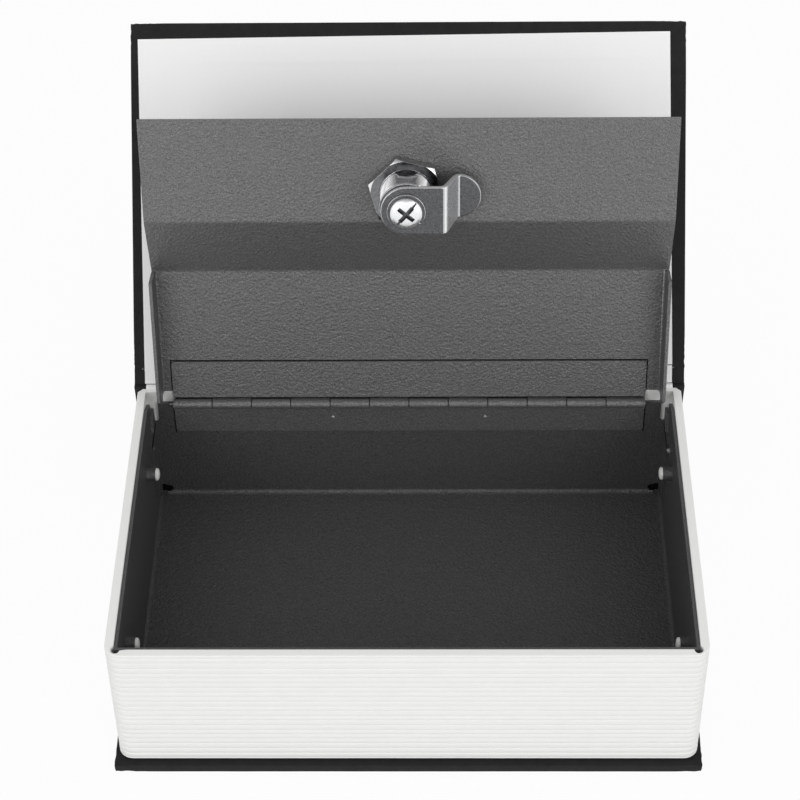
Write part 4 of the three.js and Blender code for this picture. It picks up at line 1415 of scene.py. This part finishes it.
def makeCamera():
    pitch, yaw, roll = (math.radians(camera[key]) for key in ("pitchDown", "yaw", "roll"))
    ahead = Vector((math.sin(yaw) * math.cos(pitch), math.cos(yaw) * math.cos(pitch), -math.sin(pitch)))
    right = ahead.cross(upZ).normalized()
    up = right.cross(ahead)
    turnedRight = right * math.cos(roll) + up * math.sin(roll)
    turnedUp = up * math.cos(roll) - right * math.sin(roll)
    data = bpy.data.cameras.new("camera")
    data.lens = camera["lensMm"]
    data.sensor_width = 36
    data.sensor_fit = "HORIZONTAL"
    data.clip_start = 0.01
    data.clip_end = 20
    holder = bpy.data.objects.new("camera", data)
    turn = Matrix((turnedRight, turnedUp, -ahead)).transposed().to_4x4()
    holder.matrix_world = Matrix.Translation(Vector(camera["placeMm"]) * mm) @ turn
    bpy.context.collection.objects.link(holder)
    bpy.context.scene.camera = holder


# White floor and surround under a darker ceiling. What the camera and the metal see of them is
# white; the floor keeps a little of its own shading, so the book's shadow stays.
studio = {
    "floorSize": 6,
    "floorGrey": "#D8D8D8",
    "shadowShare": 0.05,
    "skyStrength": 0.73,
    "ceiling": (0.35, 0.8, 0.3),
    # name, place, target, width, power
    "lamps": [
        ("left lamp", (-0.72, -1.1, 0.76), (0, 0, 0.06), 0.8, 4.4),
        ("right lamp", (0.78, -1.1, 0.76), (0, 0, 0.06), 0.8, 4.8),
    ],
}


def seenDirectly(tree):
    path = addNode(tree, "ShaderNodeLightPath").outputs
    either = maths(tree, "MAXIMUM", path["Is Camera Ray"], path["Is Glossy Ray"])
    return maths(tree, "MAXIMUM", either, path["Is Transmission Ray"])


def makeStudio():
    bpy.ops.mesh.primitive_plane_add(size=studio["floorSize"])
    floor = bpy.context.object
    floor.name = "floor"
    material = bpy.data.materials.new("floor")
    material.use_nodes = True
    tree = material.node_tree
    tree.nodes.clear()
    matt = addNode(tree, "ShaderNodeBsdfDiffuse", {"Color": toLinear(studio["floorGrey"])})
    white = addNode(tree, "ShaderNodeEmission", {"Color": (1, 1, 1, 1), "Strength": 1})
    share = maths(tree, "MULTIPLY", seenDirectly(tree), 1 - studio["shadowShare"])
    showShader(tree, addNode(tree, "ShaderNodeMixShader", {0: share, 1: matt.outputs[0],
                                                           2: white.outputs[0]}))
    floor.data.materials.append(material)

    world = bpy.data.worlds.new("surround")
    bpy.context.scene.world = world
    world.use_nodes = True
    tree = world.node_tree
    tree.nodes.clear()
    height = addNode(tree, "ShaderNodeSeparateXYZ", {
        "Vector": addNode(tree, "ShaderNodeTexCoord").outputs["Generated"]})
    first, last, least = studio["ceiling"]
    ceiling = addNode(tree, "ShaderNodeMapRange", {"Value": height.outputs["Z"], "From Min": first,
                                                   "From Max": last, "To Min": 1, "To Max": least})
    sky = addNode(tree, "ShaderNodeBackground", {"Color": (1, 1, 1, 1), "Strength": studio["skyStrength"]})
    white = addNode(tree, "ShaderNodeBackground", {"Color": (1, 1, 1, 1), "Strength": ceiling.outputs[0]})
    mixed = addNode(tree, "ShaderNodeMixShader", {0: seenDirectly(tree), 1: sky.outputs[0],
                                                  2: white.outputs[0]})
    addNode(tree, "ShaderNodeOutputWorld", {"Surface": mixed.outputs[0]})

    for name, place, target, width, power in studio["lamps"]:
        data = bpy.data.lights.new(name, "AREA")
        data.shape = "SQUARE"
        data.size = width
        data.energy = power
        lamp = bpy.data.objects.new(name, data)
        lamp.location = place
        lamp.rotation_euler = (Vector(target) - Vector(place)).to_track_quat("-Z", "Y").to_euler()
        bpy.context.collection.objects.link(lamp)


makeCamera()
makeStudio()
bpy.context.scene.view_settings.view_transform = "Standard"
print("stage: camera and light set")
